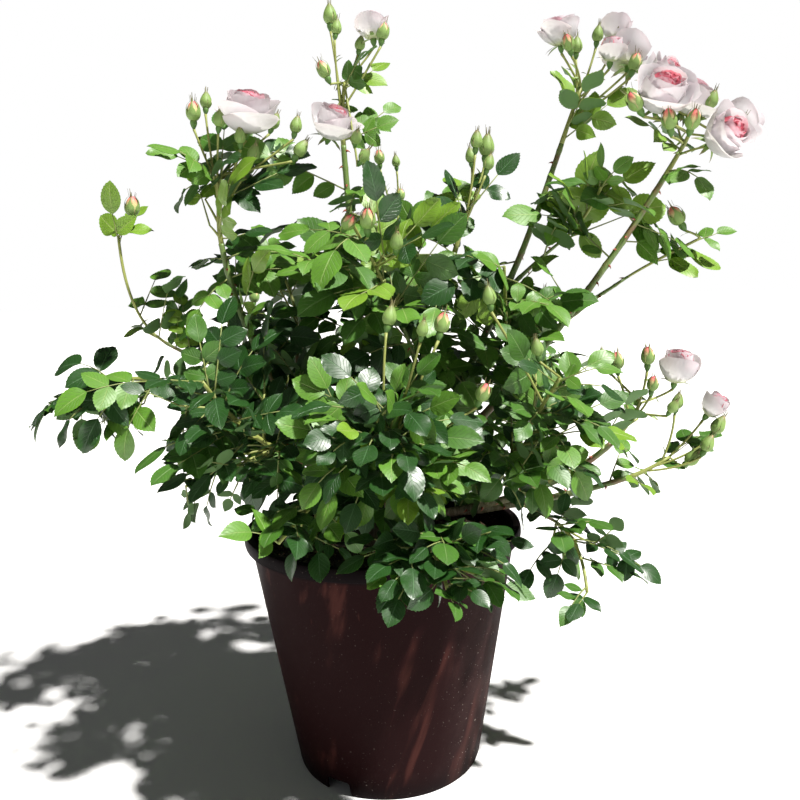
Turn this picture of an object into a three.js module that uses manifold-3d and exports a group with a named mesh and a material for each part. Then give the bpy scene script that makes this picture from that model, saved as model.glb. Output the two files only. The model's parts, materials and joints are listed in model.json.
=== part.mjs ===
// A garden rose in flower, standing in its round nursery pot.
//
// Millimetres, +Z up. The origin is the centre of the pot's foot, on the ground, and -Y is the front.
// The pot is a thin tapered shell with a rolled rim and a notched foot, filled with potting soil.
// A root crown stands on the soil. Canes rise from it, boughs leave the canes, and each of these
// limbs carries one mass of foliage: a stem with side twigs, compound leaves, blooms and buds,
// fused into one solid that keeps to its own space among its neighbours.

import * as THREE from "three";
import { mergeVertices } from "three/addons/utils/BufferGeometryUtils.js";
import Module from "manifold-3d";

const wasm = await Module();
wasm.setup();

// Pot
const RIM_RADIUS = 140;
const POT_HEIGHT = 245;
const FOOT_RADIUS = 94.5;
const WALL = 2.4;
const LIP_HEIGHT = 13;
const LIP_OVERHANG = 7;
const LIP_EDGE = 3;
const FLOOR_RISE = 15;
const POT_SIDES = 32;
const NOTCH_COUNT = 4;
const NOTCH_WIDTH = 26;
const NOTCH_HEIGHT = 15;
const FIRST_NOTCH_TURN = 239;

// Soil and the root crown on it
const GAP = 0.3;
const CUT_GAP = 0.42;
const SOIL_BELOW_RIM = 25;
const SOIL_MOUND = 7;
const SOIL_FLAT_RADIUS = 45;
const CROWN_HEIGHT = 44;
const CROWN_SIDES = 12;
const CROWN_PROFILE = [
  // share of the height, radius: root flare, waist, knuckle, top
  [0, 27],
  [0.16, 19],
  [0.36, 17],
  [0.6, 22],
  [0.84, 20],
  [1, 14],
];

// Limbs
const CANE_FOOT_RADIUS = 4.6;
const BOUGH_FOOT_SHARE = 0.72;
const TIP_SHARE = 0.58;
const LIMB_SIDES = 5;
const LIMB_RINGS = 5;
const SIDE_RING = { radius: 9, height: 22 };
const TOP_RING = { radius: 8.6, height: 34 };

// Foliage
const FIRST_SEED = 101;
const EVEN_RISE = 0.7549;
const EVEN_TURN = 0.5698;
const TRIES_PER_SPRAY = 4;
const CROWN_MIDDLE = new THREE.Vector3(0, 0, 380);
const OUTWARD_LEAN = 0.45;
const SPRAY_REACH = 0.97;
const LEAF_SLACK = 0.1;
const FLOWER_SLACK = 0.25;
const SPRAY_SLOPE = 1;
const ENTRY_DEPTH = 0.85;
const STEM_DEPTH = 0.45;
const SHORTEST_LEAFLET = 28;
const LONGEST_LEAFLET = 52;
const LONGEST_BY_FLOWERS = 38;
const LEAFLET_WIDTH_SHARE = 0.82;
const LEAFLET_THICKNESS = 1.8;
const LEAFLET_DROOP = 0.12;
const LEAFLET_SINK = 0.6;
const LEAFLET_WIDEST = 0.45;
const SIDE_LEAFLET_SHARE = 0.9;
const SIDE_LEAFLET_TURN = 64;
const PETIOLE_SHARE = 0.2;
const PAIR_SPACING_SHARE = 0.6;
const MOST_SPRAY_SHARE = 2.7;
const STEM_TIP_RADIUS = 2.2;
const TWIG_RADIUS = 1.5;
const TWIG_TIP_RADIUS = 1.3;
const TWIG_START = 0.6;
const FEWEST_LEAFLETS = 2;
const OUTWARD_LIGHT = 1.2;
const FRONT_LIGHT = 0.25;

// Blooms and buds
const FORK_SHARE = 0.9;
const PEDICEL_RADIUS = 1.5;
const FORK_STEP = 6;
const BLOOM_SIDES = 7;
const BUD_SIDES = 4;
const BUD_LENGTH = 21;
const BUD_RADIUS = 6.2;
const FIRST_BUD_LEAN = 8;
const BUD_LEAN_STEP = 5;
const MOST_BUD_TRIES = 14;

// Each limb and the mass of foliage that it carries. A cane starts on the root crown's side or top
// at the turn `foot`, and a bough leaves the limb that `from` names, at the share `at` of its length.
// `centre` and `reach` are the middle and the half sizes of the mass. `spread` and `climb` are the
// shares of the way out and up that the limb has made at its bend. `entry` is the direction from
// the mass's centre to where the limb enters it. `sprays` counts the leafy twigs. Blooms are
// [x, y, z, width], and buds are counted.
const SHOOTS = [
  { name: "left_far", ring: SIDE_RING, foot: 198, centre: [-282, 0, 386], reach: [78, 74, 72],
    entry: [1, 0, 0.15], spread: 0.45, climb: 0.75, sprays: 7 },
  { name: "centre_left", ring: SIDE_RING, foot: 238, centre: [-128, -116, 392], reach: [96, 84, 88],
    entry: [0.5, 0.5, -0.7], spread: 0.4, climb: 0.6, sprays: 9 },
  { name: "centre_front", ring: SIDE_RING, foot: 278, centre: [8, -172, 366], reach: [92, 70, 84],
    entry: [0, 0.8, -0.5], spread: 0.45, climb: 0.6, sprays: 9 },
  { name: "right_mid", ring: SIDE_RING, foot: 322, centre: [244, -62, 380], reach: [66, 58, 64],
    entry: [-0.5, 0, -0.85], spread: 0.72, climb: 0.25, sprays: 4,
    blooms: [[288, -50, 402, 38]], buds: 4 },
  { name: "right_low", ring: SIDE_RING, foot: 4, centre: [292, -18, 316], reach: [66, 58, 60],
    entry: [-0.85, 0, -0.5], spread: 0.6, climb: 0.2, sprays: 4,
    blooms: [[330, -24, 354, 27]], buds: 3 },
  { name: "back_right", ring: SIDE_RING, foot: 48, centre: [164, 132, 388], reach: [96, 92, 96],
    entry: [-0.5, -0.5, -0.7], spread: 0.4, climb: 0.6, sprays: 9 },
  { name: "back_left", ring: SIDE_RING, foot: 135, centre: [-142, 132, 392], reach: [98, 92, 96],
    entry: [0.5, -0.5, -0.7], spread: 0.4, climb: 0.6, sprays: 9 },
  { name: "back_low", ring: SIDE_RING, foot: 92, centre: [14, 184, 312], reach: [96, 68, 72],
    entry: [0, -0.85, -0.4], spread: 0.5, climb: 0.7, sprays: 8 },

  { name: "top", ring: TOP_RING, foot: 96, centre: [-20, 14, 690], reach: [60, 54, 82],
    entry: [-0.1, 0, -1], spread: 0.7, climb: 0.5, sprays: 4,
    blooms: [[4, 20, 733, 27], [-32, -16, 642, 36]], buds: 3 },
  { name: "left_top", ring: TOP_RING, foot: 160, centre: [-134, -15, 604], reach: [84, 64, 90],
    entry: [-0.15, 0, -1], spread: 0.88, climb: 0.5, sprays: 7,
    blooms: [[-114, -20, 650, 50]], buds: 5 },
  { name: "mid_shoot", ring: TOP_RING, foot: 256, centre: [92, -30, 556], reach: [58, 54, 66],
    entry: [-0.35, 0, -0.95], spread: 0.5, climb: 0.5, sprays: 4, buds: 4 },
  { name: "right_tall_2", ring: TOP_RING, foot: 328, centre: [304, -28, 632], reach: [66, 66, 92],
    entry: [-0.45, 0.2, -0.9], spread: 0.6, climb: 0.45, sprays: 4,
    blooms: [[290, -24, 692, 30], [282, -54, 662, 46], [318, -8, 664, 36], [326, -56, 628, 42],
      [336, -6, 630, 38]], buds: 4 },
  { name: "right_tall_1", ring: TOP_RING, foot: 40, centre: [214, 36, 684], reach: [70, 60, 82],
    entry: [-0.35, 0, -0.95], spread: 0.62, climb: 0.45, sprays: 4,
    blooms: [[187, 28, 727, 44], [236, 12, 708, 24], [248, 56, 734, 30], [264, 30, 700, 40]], buds: 3 },

  { name: "left_low", from: "left_far", at: 0.42, centre: [-176, -24, 300], reach: [68, 64, 64],
    entry: [0.8, 0, 0.35], sprays: 6 },
  { name: "left_shoot", from: "left_top", at: 0.5, centre: [-238, 6, 504], reach: [72, 62, 86],
    entry: [0.35, 0, -1], spread: 0.7, climb: 0.45, sprays: 5, buds: 2 },
  { name: "front_left_low", from: "centre_left", at: 0.45, centre: [-76, -166, 284], reach: [74, 60, 60],
    entry: [0.4, 0.8, 0.3], sprays: 6 },
  { name: "front_low", from: "centre_front", at: 0.42, centre: [48, -192, 262], reach: [88, 54, 56],
    entry: [-0.2, 0.9, 0.35], sprays: 7 },
  { name: "centre_right", from: "right_mid", at: 0.35, centre: [140, -124, 378], reach: [86, 78, 88],
    entry: [-0.3, 0.6, -0.75], sprays: 9 },
  { name: "right_droop", from: "right_low", at: 0.52, centre: [180, -76, 216], reach: [82, 60, 88],
    entry: [-0.2, 0.75, 0.6], sprays: 6 },
  { name: "upper_front", from: "mid_shoot", at: 0.55, centre: [-6, -78, 516], reach: [94, 82, 84],
    entry: [0.35, 0.5, -0.75], sprays: 8, buds: 2 },
  { name: "upper_left", from: "left_top", at: 0.36, centre: [-104, 66, 496], reach: [92, 80, 84],
    entry: [0.3, -0.5, -0.8], sprays: 7 },
  { name: "back_top", from: "top", at: 0.48, centre: [28, 112, 544], reach: [98, 86, 90],
    entry: [-0.3, -0.6, -0.7], sprays: 8, blooms: [[52, 136, 596, 44], [-2, 124, 604, 36]], buds: 3 },
  { name: "upper_right", from: "right_tall_2", at: 0.4, centre: [118, -66, 492], reach: [76, 66, 78],
    entry: [0.1, 0.6, -0.7], sprays: 7 },
  { name: "right_leaves", from: "right_tall_1", at: 0.62, centre: [206, -12, 556], reach: [84, 62, 52],
    entry: [-0.35, 0.6, -0.6], sprays: 7 },
  { name: "right_side", from: "right_tall_2", at: 0.6, centre: [302, 22, 510], reach: [62, 58, 64],
    entry: [-0.8, 0, -0.4], sprays: 4, buds: 1 },
];

const UP = new THREE.Vector3(0, 0, 1);
const degrees = THREE.MathUtils.degToRad;
const vector = (xyz) => new THREE.Vector3(...xyz);

// A seeded generator of numbers from 0 to 1.
function seeded(seed) {
  let state = seed >>> 0;
  return () => {
    state = (state + 0x6d2b79f5) >>> 0;
    let mixed = Math.imul(state ^ (state >>> 15), state | 1);
    mixed = (mixed + Math.imul(mixed ^ (mixed >>> 7), mixed | 61)) ^ mixed;
    return ((mixed ^ (mixed >>> 14)) >>> 0) / 4294967296;
  };
}

// A closed geometry as a solid that can be joined and cut.
function solidOf(geometry) {
  const bare = new THREE.BufferGeometry()
    .setAttribute("position", geometry.getAttribute("position").clone())
    .setIndex(geometry.index ? geometry.index.clone() : null);
  const merged = mergeVertices(bare, 1e-4);
  const corners = merged.index.array;
  const triVerts = new Uint32Array(corners.filter((_, i) => {
    const [a, b, c] = corners.slice(i - (i % 3), i - (i % 3) + 3);
    return a !== b && b !== c && a !== c;
  }));
  const mesh = { numProp: 3, vertProperties: merged.attributes.position.array, triVerts };
  const made = new wasm.Manifold(new wasm.Mesh(mesh));
  if (made.volume() > 0) return made;
  const turned = triVerts.map((_, i) => triVerts[[0, 2, 1][i % 3] + i - (i % 3)]);
  return new wasm.Manifold(new wasm.Mesh({ ...mesh, triVerts: turned }));
}

// The solid's largest body, as a geometry.
function geometryOf(solid) {
  const largest = solid.decompose().reduce((best, body) => (body.volume() > best.volume() ? body : best));
  const mesh = largest.getMesh();
  return new THREE.BufferGeometry()
    .setAttribute("position", new THREE.BufferAttribute(new Float32Array(mesh.vertProperties), 3))
    .setIndex(new THREE.BufferAttribute(new Uint32Array(mesh.triVerts), 1));
}

const joined = (solids) => wasm.Manifold.union(solids);
const meets = (solid, others) => others.some((other) => !solid.intersect(other).isEmpty());

// Two directions square to the given one.
function squareTo(direction) {
  const helper = Math.abs(direction.z) > 0.9 ? new THREE.Vector3(1, 0, 0) : UP;
  const first = new THREE.Vector3().crossVectors(helper, direction).normalize();
  return [first, new THREE.Vector3().crossVectors(direction, first).normalize()];
}

// A tube of flat-sided rings along a curve, closed at both ends. radiusAt gives its radius at a
// share of the length, and one edge starts on the side that `facing` points to.
function taperedTube(curve, radiusAt, sides, rings, facing) {
  const points = [];
  const index = [];
  const across = facing?.clone() ?? squareTo(curve.getTangent(0))[0];
  for (let ring = 0; ring < rings; ring += 1) {
    const share = ring / (rings - 1);
    const along = curve.getTangent(share);
    across.addScaledVector(along, -across.dot(along)).normalize();
    const other = new THREE.Vector3().crossVectors(along, across);
    for (let side = 0; side < sides; side += 1) {
      const turn = (side / sides) * 2 * Math.PI;
      points.push(curve.getPoint(share)
        .addScaledVector(across, radiusAt(share) * Math.cos(turn))
        .addScaledVector(other, radiusAt(share) * Math.sin(turn)));
    }
  }
  for (let ring = 0; ring < rings - 1; ring += 1) {
    for (let side = 0; side < sides; side += 1) {
      const a = ring * sides + side;
      const b = ring * sides + ((side + 1) % sides);
      index.push(a, b, b + sides, a, b + sides, a + sides);
    }
  }
  const last = (rings - 1) * sides;
  for (let side = 1; side < sides - 1; side += 1) {
    index.push(0, side + 1, side, last, last + side, last + side + 1);
  }
  return new THREE.BufferGeometry().setFromPoints(points).setIndex(index);
}

// A profile of [radius, height] pairs, turned about the Z axis.
function turned(profile, sides) {
  return new THREE.LatheGeometry(profile.map(([r, z]) => new THREE.Vector2(r, z)), sides).rotateX(Math.PI / 2);
}

// Pot

const wallRadius = (z) => {
  const top = RIM_RADIUS - LIP_OVERHANG;
  return FOOT_RADIUS + ((top - FOOT_RADIUS) * z) / (POT_HEIGHT - LIP_HEIGHT);
};
const innerRadius = (z) => wallRadius(Math.min(z, POT_HEIGHT - LIP_HEIGHT)) - WALL;

function potSolid() {
  const lipFoot = POT_HEIGHT - LIP_HEIGHT;
  const floorTop = FLOOR_RISE + WALL;
  const shell = solidOf(turned([
    [0, FLOOR_RISE],
    [innerRadius(FLOOR_RISE), FLOOR_RISE],
    [innerRadius(0), 0],
    [wallRadius(0), 0],
    [wallRadius(lipFoot), lipFoot],
    [RIM_RADIUS - 1, lipFoot + 0.5],
    [RIM_RADIUS, lipFoot + LIP_EDGE],
    [RIM_RADIUS, POT_HEIGHT - LIP_EDGE],
    [RIM_RADIUS - LIP_EDGE, POT_HEIGHT],
    [innerRadius(lipFoot), POT_HEIGHT],
    [innerRadius(lipFoot), lipFoot],
    [innerRadius(floorTop), floorTop],
    [0, floorTop],
  ], POT_SIDES));
  const notches = Array.from({ length: NOTCH_COUNT }, (_, n) => {
    const block = new THREE.BoxGeometry(4 * LIP_OVERHANG, NOTCH_WIDTH, 2 * NOTCH_HEIGHT)
      .translate(FOOT_RADIUS, 0, 0)
      .rotateZ(degrees(FIRST_NOTCH_TURN + (n * 360) / NOTCH_COUNT));
    return solidOf(block);
  });
  return shell.subtract(joined(notches));
}

const SOIL_EDGE = POT_HEIGHT - SOIL_BELOW_RIM;
const SOIL_TOP = SOIL_EDGE + SOIL_MOUND;

function soilSolid() {
  const floor = FLOOR_RISE + WALL + GAP;
  return solidOf(turned([
    [0, floor],
    [innerRadius(floor) - GAP, floor],
    [innerRadius(SOIL_EDGE) - GAP, SOIL_EDGE],
    [(SOIL_FLAT_RADIUS + innerRadius(SOIL_EDGE)) / 2, SOIL_EDGE + SOIL_MOUND * 0.75],
    [SOIL_FLAT_RADIUS, SOIL_TOP],
    [0, SOIL_TOP],
  ], POT_SIDES));
}

// The stump of old wood that the canes rise from, larger all round by the given allowance.
function crownSolid(allowance = 0) {
  const foot = SOIL_TOP + GAP;
  const heights = CROWN_PROFILE.map(([share]) => share);
  const radiusAt = (share) => {
    const upper = Math.max(1, heights.findIndex((height) => height >= share - 1e-9));
    const [[low, r0], [high, r1]] = [CROWN_PROFILE[upper - 1], CROWN_PROFILE[upper]];
    return r0 + ((r1 - r0) * (share - low)) / (high - low);
  };
  const profile = CROWN_PROFILE.map(([share]) => [
    radiusAt(share) + allowance,
    foot + share * CROWN_HEIGHT + (share === 1 ? allowance : 0),
  ]);
  return solidOf(turned([[0, foot], ...profile, [0, profile.at(-1)[1]]], CROWN_SIDES));
}

// Limbs

// Fills in a shoot's limb: where it starts, bends and ends, and its radii.
function laidOut(shoot, limbs) {
  const inlet = vector(shoot.entry).normalize();
  const entry = shoot.centre.clone().addScaledVector(inlet, ENTRY_DEPTH * roomAlong(shoot.centre, inlet, shoot));
  const parent = limbs.get(shoot.from);
  const { spread = 0.5, climb = 0.55 } = shoot;
  const foot = parent
    ? parent.curve.getPoint(shoot.at)
    : new THREE.Vector3(shoot.ring.radius, 0, SOIL_TOP + shoot.ring.height).applyAxisAngle(UP, degrees(shoot.foot));
  const footRadius = parent ? parent.radiusAt(shoot.at) * BOUGH_FOOT_SHARE : CANE_FOOT_RADIUS;
  const way = entry.clone().sub(foot);
  const bend = foot.clone().add(new THREE.Vector3(way.x * spread, way.y * spread, way.z * climb));
  const curve = new THREE.QuadraticBezierCurve3(foot, bend, entry);
  const radiusAt = (share) => footRadius * (1 - (1 - TIP_SHARE) * share);
  return { ...shoot, parent, curve, radiusAt };
}

const limbTube = (limb, allowance = 0) =>
  solidOf(taperedTube(limb.curve, (share) => limb.radiusAt(share) + allowance, LIMB_SIDES, LIMB_RINGS));

// A limb cut clear of the limb or the root crown that carries it.
function limbSolid(limb) {
  return limbTube(limb).subtract(limb.parent ? limbTube(limb.parent, CUT_GAP) : crownSolid(CUT_GAP));
}

// Foliage

// The planes that part a mass's space from each of its neighbours'. Each is a point on the plane
// and the direction that leads out of the space.
function partingPlanes(mass, masses) {
  return masses.filter((other) => other !== mass).map((other) => {
    const outward = other.centre.clone().sub(mass.centre);
    const distance = outward.length();
    outward.normalize();
    const own = outward.clone().multiply(mass.reach).length();
    const theirs = outward.clone().multiply(other.reach).length();
    const share = own / (own + theirs);
    return { point: mass.centre.clone().addScaledVector(outward, distance * share), outward };
  });
}

// True if every point is in the mass's space: within its reach and behind its parting planes.
function keepsToSpace(points, mass, slack) {
  return points.every((point) => {
    const inReach = point.clone().sub(mass.centre).divide(mass.reach).length() <= 1 + slack;
    return inReach && mass.planes.every(({ point: on, outward }) => {
      return point.clone().sub(on).dot(outward) < -GAP / 2;
    });
  });
}

// How far a ray from inside the mass's space runs before it leaves.
function roomAlong(start, direction, mass) {
  const from = start.clone().sub(mass.centre).divide(mass.reach);
  const way = direction.clone().divide(mass.reach);
  const a = way.lengthSq();
  const b = from.dot(way);
  const c = from.lengthSq() - 1;
  const toShell = (-b + Math.sqrt(Math.max(0, b * b - a * c))) / a;
  const toPlanes = mass.planes.map(({ point, outward }) => {
    const approach = direction.dot(outward);
    return approach > 1e-6 ? (point.clone().sub(start).dot(outward) - GAP) / approach : Infinity;
  });
  return Math.max(0, Math.min(toShell, ...toPlanes));
}

// The direction that a leaf's upper side faces: up, away from the pot's axis and to the light.
function lightAt(point) {
  const outward = new THREE.Vector3(point.x, point.y, 0).normalize();
  return new THREE.Vector3(0, -FRONT_LIGHT, 1).addScaledVector(outward, OUTWARD_LIGHT).normalize();
}

// One leaflet of six faces: flat across, bent down at its widest line, and keeled along its rib.
// Its root is sunk in what carries it.
function leafletGeometry(root, along, face, length) {
  const across = new THREE.Vector3().crossVectors(face, along).normalize();
  const halfWidth = 0.5 * length * LEAFLET_WIDTH_SHARE;
  const widest = root.clone().addScaledVector(along, LEAFLET_WIDEST * length);
  const points = [
    root,
    widest.clone().addScaledVector(across, halfWidth),
    root.clone().addScaledVector(along, length).addScaledVector(face, -LEAFLET_DROOP * length),
    widest.clone().addScaledVector(across, -halfWidth),
    widest.clone().addScaledVector(face, -LEAFLET_THICKNESS),
  ];
  const index = [0, 1, 3, 1, 2, 3, 0, 4, 1, 1, 4, 2, 2, 4, 3, 3, 4, 0];
  return new THREE.BufferGeometry().setFromPoints(points).setIndex(index);
}

const pointsOf = (geometry) => {
  const at = geometry.getAttribute("position");
  return Array.from({ length: at.count }, (_, i) => new THREE.Vector3().fromBufferAttribute(at, i));
};

// A straight twig or flower stalk with three sides, one edge of it on top.
function stalkGeometry(start, end, footRadius, tipRadius, facing) {
  const radiusAt = (share) => footRadius + (tipRadius - footRadius) * share;
  return taperedTube(new THREE.LineCurve3(start, end), radiusAt, 3, 2, facing);
}

// An open bloom: a cup of petals, its middle sunk below their edge.
function bloomGeometry(at, along, width) {
  const r = width / 2;
  const cup = turned([
    [0, -0.62 * r],
    [0.5 * r, -0.62 * r],
    [r, 0.12 * r],
    [0.7 * r, 0.66 * r],
    [0, 0.42 * r],
  ], BLOOM_SIDES);
  return placed(cup, at, along);
}

// A closed bud on its stalk: the round hip, and the pointed sepals above it.
function budGeometry(start, along, length) {
  const bud = turned([
    [0, 0],
    [PEDICEL_RADIUS, 0],
    [PEDICEL_RADIUS, length - BUD_LENGTH],
    [BUD_RADIUS, length - 0.6 * BUD_LENGTH],
    [0, length],
  ], BUD_SIDES);
  return placed(bud, start, along);
}

function placed(geometry, at, along) {
  const turn = new THREE.Quaternion().setFromUnitVectors(UP, along);
  return geometry.applyQuaternion(turn).translate(at.x, at.y, at.z);
}

// The mass's main stem, from just past its limb's tip to beyond the middle of its space.
function stemCurve(mass) {
  const heading = mass.curve.getTangent(1);
  const start = mass.curve.getPoint(1).addScaledVector(heading, GAP);
  const inward = mass.centre.clone().sub(start).normalize();
  const depth = STEM_DEPTH * roomAlong(mass.centre, inward, mass);
  const end = mass.centre.clone().addScaledVector(inward, depth);
  const bend = start.clone().addScaledVector(heading, 0.4 * end.distanceTo(start));
  return new THREE.QuadraticBezierCurve3(start, bend, end);
}

// The nth direction in which a mass tries to grow a spray. The first ends a stem with no flowers.
// The others are spread evenly, however many are used, and lean away from the crown's middle.
function sprayDirection(mass, stem, n) {
  if (n === 0 && !mass.blooms && !mass.buds) return stem.v2.clone().sub(mass.centre).normalize();
  const height = 1 - 2 * ((n * EVEN_RISE + mass.firstTurn) % 1);
  const turn = 2 * Math.PI * ((n * EVEN_TURN + mass.firstTurn) % 1);
  const ring = Math.sqrt(1 - height * height);
  const outward = mass.centre.clone().sub(CROWN_MIDDLE).normalize();
  return new THREE.Vector3(ring * Math.cos(turn), ring * Math.sin(turn), height)
    .addScaledVector(outward, OUTWARD_LEAN)
    .normalize();
}

// A leafy twig from the stem to the edge of the mass's space: one leaflet ends it, and pairs of
// leaflets stand along its outer part. Leaflets that don't fit, or meet what grew earlier, are left
// off, and so is a spray that has too few.
function spray(mass, stem, direction, fits, earlier) {
  const reach = SPRAY_REACH * roomAlong(mass.centre, direction, mass);
  const tip = mass.centre.clone().addScaledVector(direction, reach);
  const chord = stem.v2.clone().sub(stem.v0);
  const offset = tip.clone().sub(stem.v0);
  const ahead = offset.dot(chord) / chord.length();
  const aside = Math.sqrt(Math.max(0, offset.lengthSq() - ahead * ahead));
  const share = THREE.MathUtils.clamp((ahead - SPRAY_SLOPE * aside) / chord.length(), 0.05, 0.95);
  const start = stem.getPoint(share);
  const along = tip.clone().sub(start).normalize();
  const longest = mass.blooms || mass.buds ? LONGEST_BY_FLOWERS : LONGEST_LEAFLET;
  const length = Math.min(tip.distanceTo(start), MOST_SPRAY_SHARE * longest);
  const lengthOf = (pairs) => 1 + PETIOLE_SHARE + pairs * PAIR_SPACING_SHARE;
  const pairs = length > lengthOf(2) * longest ? 2 : 1;
  const leafletLength = Math.min(length / lengthOf(pairs), longest);
  if (leafletLength < SHORTEST_LEAFLET) return { twigs: [], leaflets: [] };
  const end = start.clone().addScaledVector(along, length - leafletLength);
  const face = lightAt(end);
  face.addScaledVector(along, -face.dot(along)).normalize();
  const foot = start.clone().addScaledVector(along, TWIG_START);
  const twig = stalkGeometry(foot, end, TWIG_RADIUS, TWIG_TIP_RADIUS, face);
  if (!fits(twig) || meets(solidOf(twig), earlier.leaflets)) return { twigs: [], leaflets: [] };

  const across = new THREE.Vector3().crossVectors(face, along);
  const turn = degrees(SIDE_LEAFLET_TURN);
  const leaflets = [leafletGeometry(end.clone().addScaledVector(along, -LEAFLET_SINK), along, face, leafletLength)];
  for (let pair = 1; pair <= pairs; pair += 1) {
    const root = end.clone().addScaledVector(along, -pair * PAIR_SPACING_SHARE * leafletLength);
    for (const side of [-1, 1]) {
      const way = along.clone().multiplyScalar(Math.cos(turn)).addScaledVector(across, side * Math.sin(turn));
      leaflets.push(leafletGeometry(root, way, face, leafletLength * SIDE_LEAFLET_SHARE));
    }
  }
  const kept = leaflets.filter((leaflet) => fits(leaflet)).map(solidOf)
    .filter((leaflet) => !meets(leaflet, [...earlier.leaflets, ...earlier.twigs]));
  return kept.length < FEWEST_LEAFLETS ? { twigs: [], leaflets: [] } : { twigs: [solidOf(twig)], leaflets: kept };
}

// The blooms and buds, each on its own flower stalk from near the end of the stem.
function flowerSolids(mass, stem, fits) {
  const solids = [];
  const nextFork = () => stem.getPoint(FORK_SHARE - (FORK_STEP * solids.length) / stem.getLength());
  for (const [x, y, z, width] of mass.blooms ?? []) {
    const at = new THREE.Vector3(x, y, z);
    const fork = nextFork();
    const along = at.clone().sub(fork).normalize().addScaledVector(UP, 0.5).normalize();
    const bloom = bloomGeometry(at, along, width);
    const stalk = stalkGeometry(fork, at, PEDICEL_RADIUS, PEDICEL_RADIUS);
    const flower = joined([solidOf(stalk), solidOf(bloom)]);
    if (fits(stalk, FLOWER_SLACK) && fits(bloom, FLOWER_SLACK) && !meets(flower, solids)) solids.push(flower);
  }
  let standing = 0;
  for (let n = 0; standing < (mass.buds ?? 0) && n < MOST_BUD_TRIES; n += 1) {
    const turn = 2 * Math.PI * ((n * EVEN_TURN + mass.firstTurn) % 1);
    const lean = degrees(FIRST_BUD_LEAN + BUD_LEAN_STEP * n);
    const along = UP.clone().multiplyScalar(Math.cos(lean))
      .add(new THREE.Vector3(Math.cos(turn), Math.sin(turn), 0).multiplyScalar(Math.sin(lean)));
    const fork = nextFork();
    const bud = budGeometry(fork, along, roomAlong(fork, along, mass));
    if (!fits(bud, FLOWER_SLACK) || meets(solidOf(bud), solids)) continue;
    solids.push(solidOf(bud));
    standing += 1;
  }
  return solids;
}

function massSolid(mass, limbs) {
  const near = limbs.map((limb) => limb.clearance);
  const fits = (geometry, slack = LEAF_SLACK) =>
    keepsToSpace(pointsOf(geometry), mass, slack) && !meets(solidOf(geometry), near);
  const stem = stemCurve(mass);
  const foot = mass.radiusAt(1);
  const wood = taperedTube(stem, (share) => foot + (STEM_TIP_RADIUS - foot) * share, 4, 3);
  const earlier = { twigs: [], leaflets: flowerSolids(mass, stem, fits) };
  for (let n = 0; n < TRIES_PER_SPRAY * mass.sprays && earlier.twigs.length < mass.sprays; n += 1) {
    const grown = spray(mass, stem, sprayDirection(mass, stem, n), fits, earlier);
    earlier.twigs.push(...grown.twigs);
    earlier.leaflets.push(...grown.leaflets);
  }
  return joined([solidOf(wood), ...earlier.twigs, ...earlier.leaflets]);
}

// Assembly

const COLOURS = {
  pot: new THREE.MeshStandardMaterial({ color: 0x2a1816, roughness: 0.55 }),
  soil: new THREE.MeshStandardMaterial({ color: 0x2b2019, roughness: 0.95 }),
  wood: new THREE.MeshStandardMaterial({ color: 0x6a5a42, roughness: 0.85 }),
  cane: new THREE.MeshStandardMaterial({ color: 0x5d7a35, roughness: 0.6 }),
  leaf: new THREE.MeshStandardMaterial({ color: 0x3d7326, roughness: 0.45 }),
};

const plant = new THREE.Group();

function addNode(name, solid, material) {
  const mesh = new THREE.Mesh(geometryOf(solid), material);
  mesh.name = name;
  plant.add(mesh);
}

const spaces = SHOOTS.map((shoot, order) => ({
  ...shoot,
  centre: vector(shoot.centre),
  reach: vector(shoot.reach),
  firstTurn: seeded(FIRST_SEED + order)(),
}));
spaces.forEach((space) => {
  space.planes = partingPlanes(space, spaces);
});
const limbs = new Map();
for (const space of spaces) {
  const limb = laidOut(space, limbs);
  limb.clearance = limbTube(limb, CUT_GAP);
  limbs.set(limb.name, limb);
}
const masses = [...limbs.values()];

addNode("pot", potSolid(), COLOURS.pot);
addNode("soil", soilSolid(), COLOURS.soil);
addNode("root_crown", crownSolid(), COLOURS.wood);
for (const mass of masses) {
  addNode(`${mass.from ? "bough" : "cane"}_${mass.name}`, limbSolid(mass), COLOURS.cane);
  addNode(`foliage_${mass.name}`, massSolid(mass, masses), COLOURS.leaf);
}

export default plant;
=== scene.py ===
"""A garden rose in flower in its round nursery pot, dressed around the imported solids.

The plant is worked out in millimetres, +Z up, with the origin at the centre of the pot's foot and the
front at -Y. Each piece goes into the scene in metres. The limbs follow the rule of the solids, and each
mass of foliage grows on from its limb by the same rule, carried to finer twigs and real leaflets.
"""

from __future__ import annotations

import functools
import json
import logging
import math
from collections.abc import Iterable, Sequence
from dataclasses import dataclass, field
from enum import Enum

import bpy
import numpy as np
from mathutils import Matrix, Vector

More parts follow.
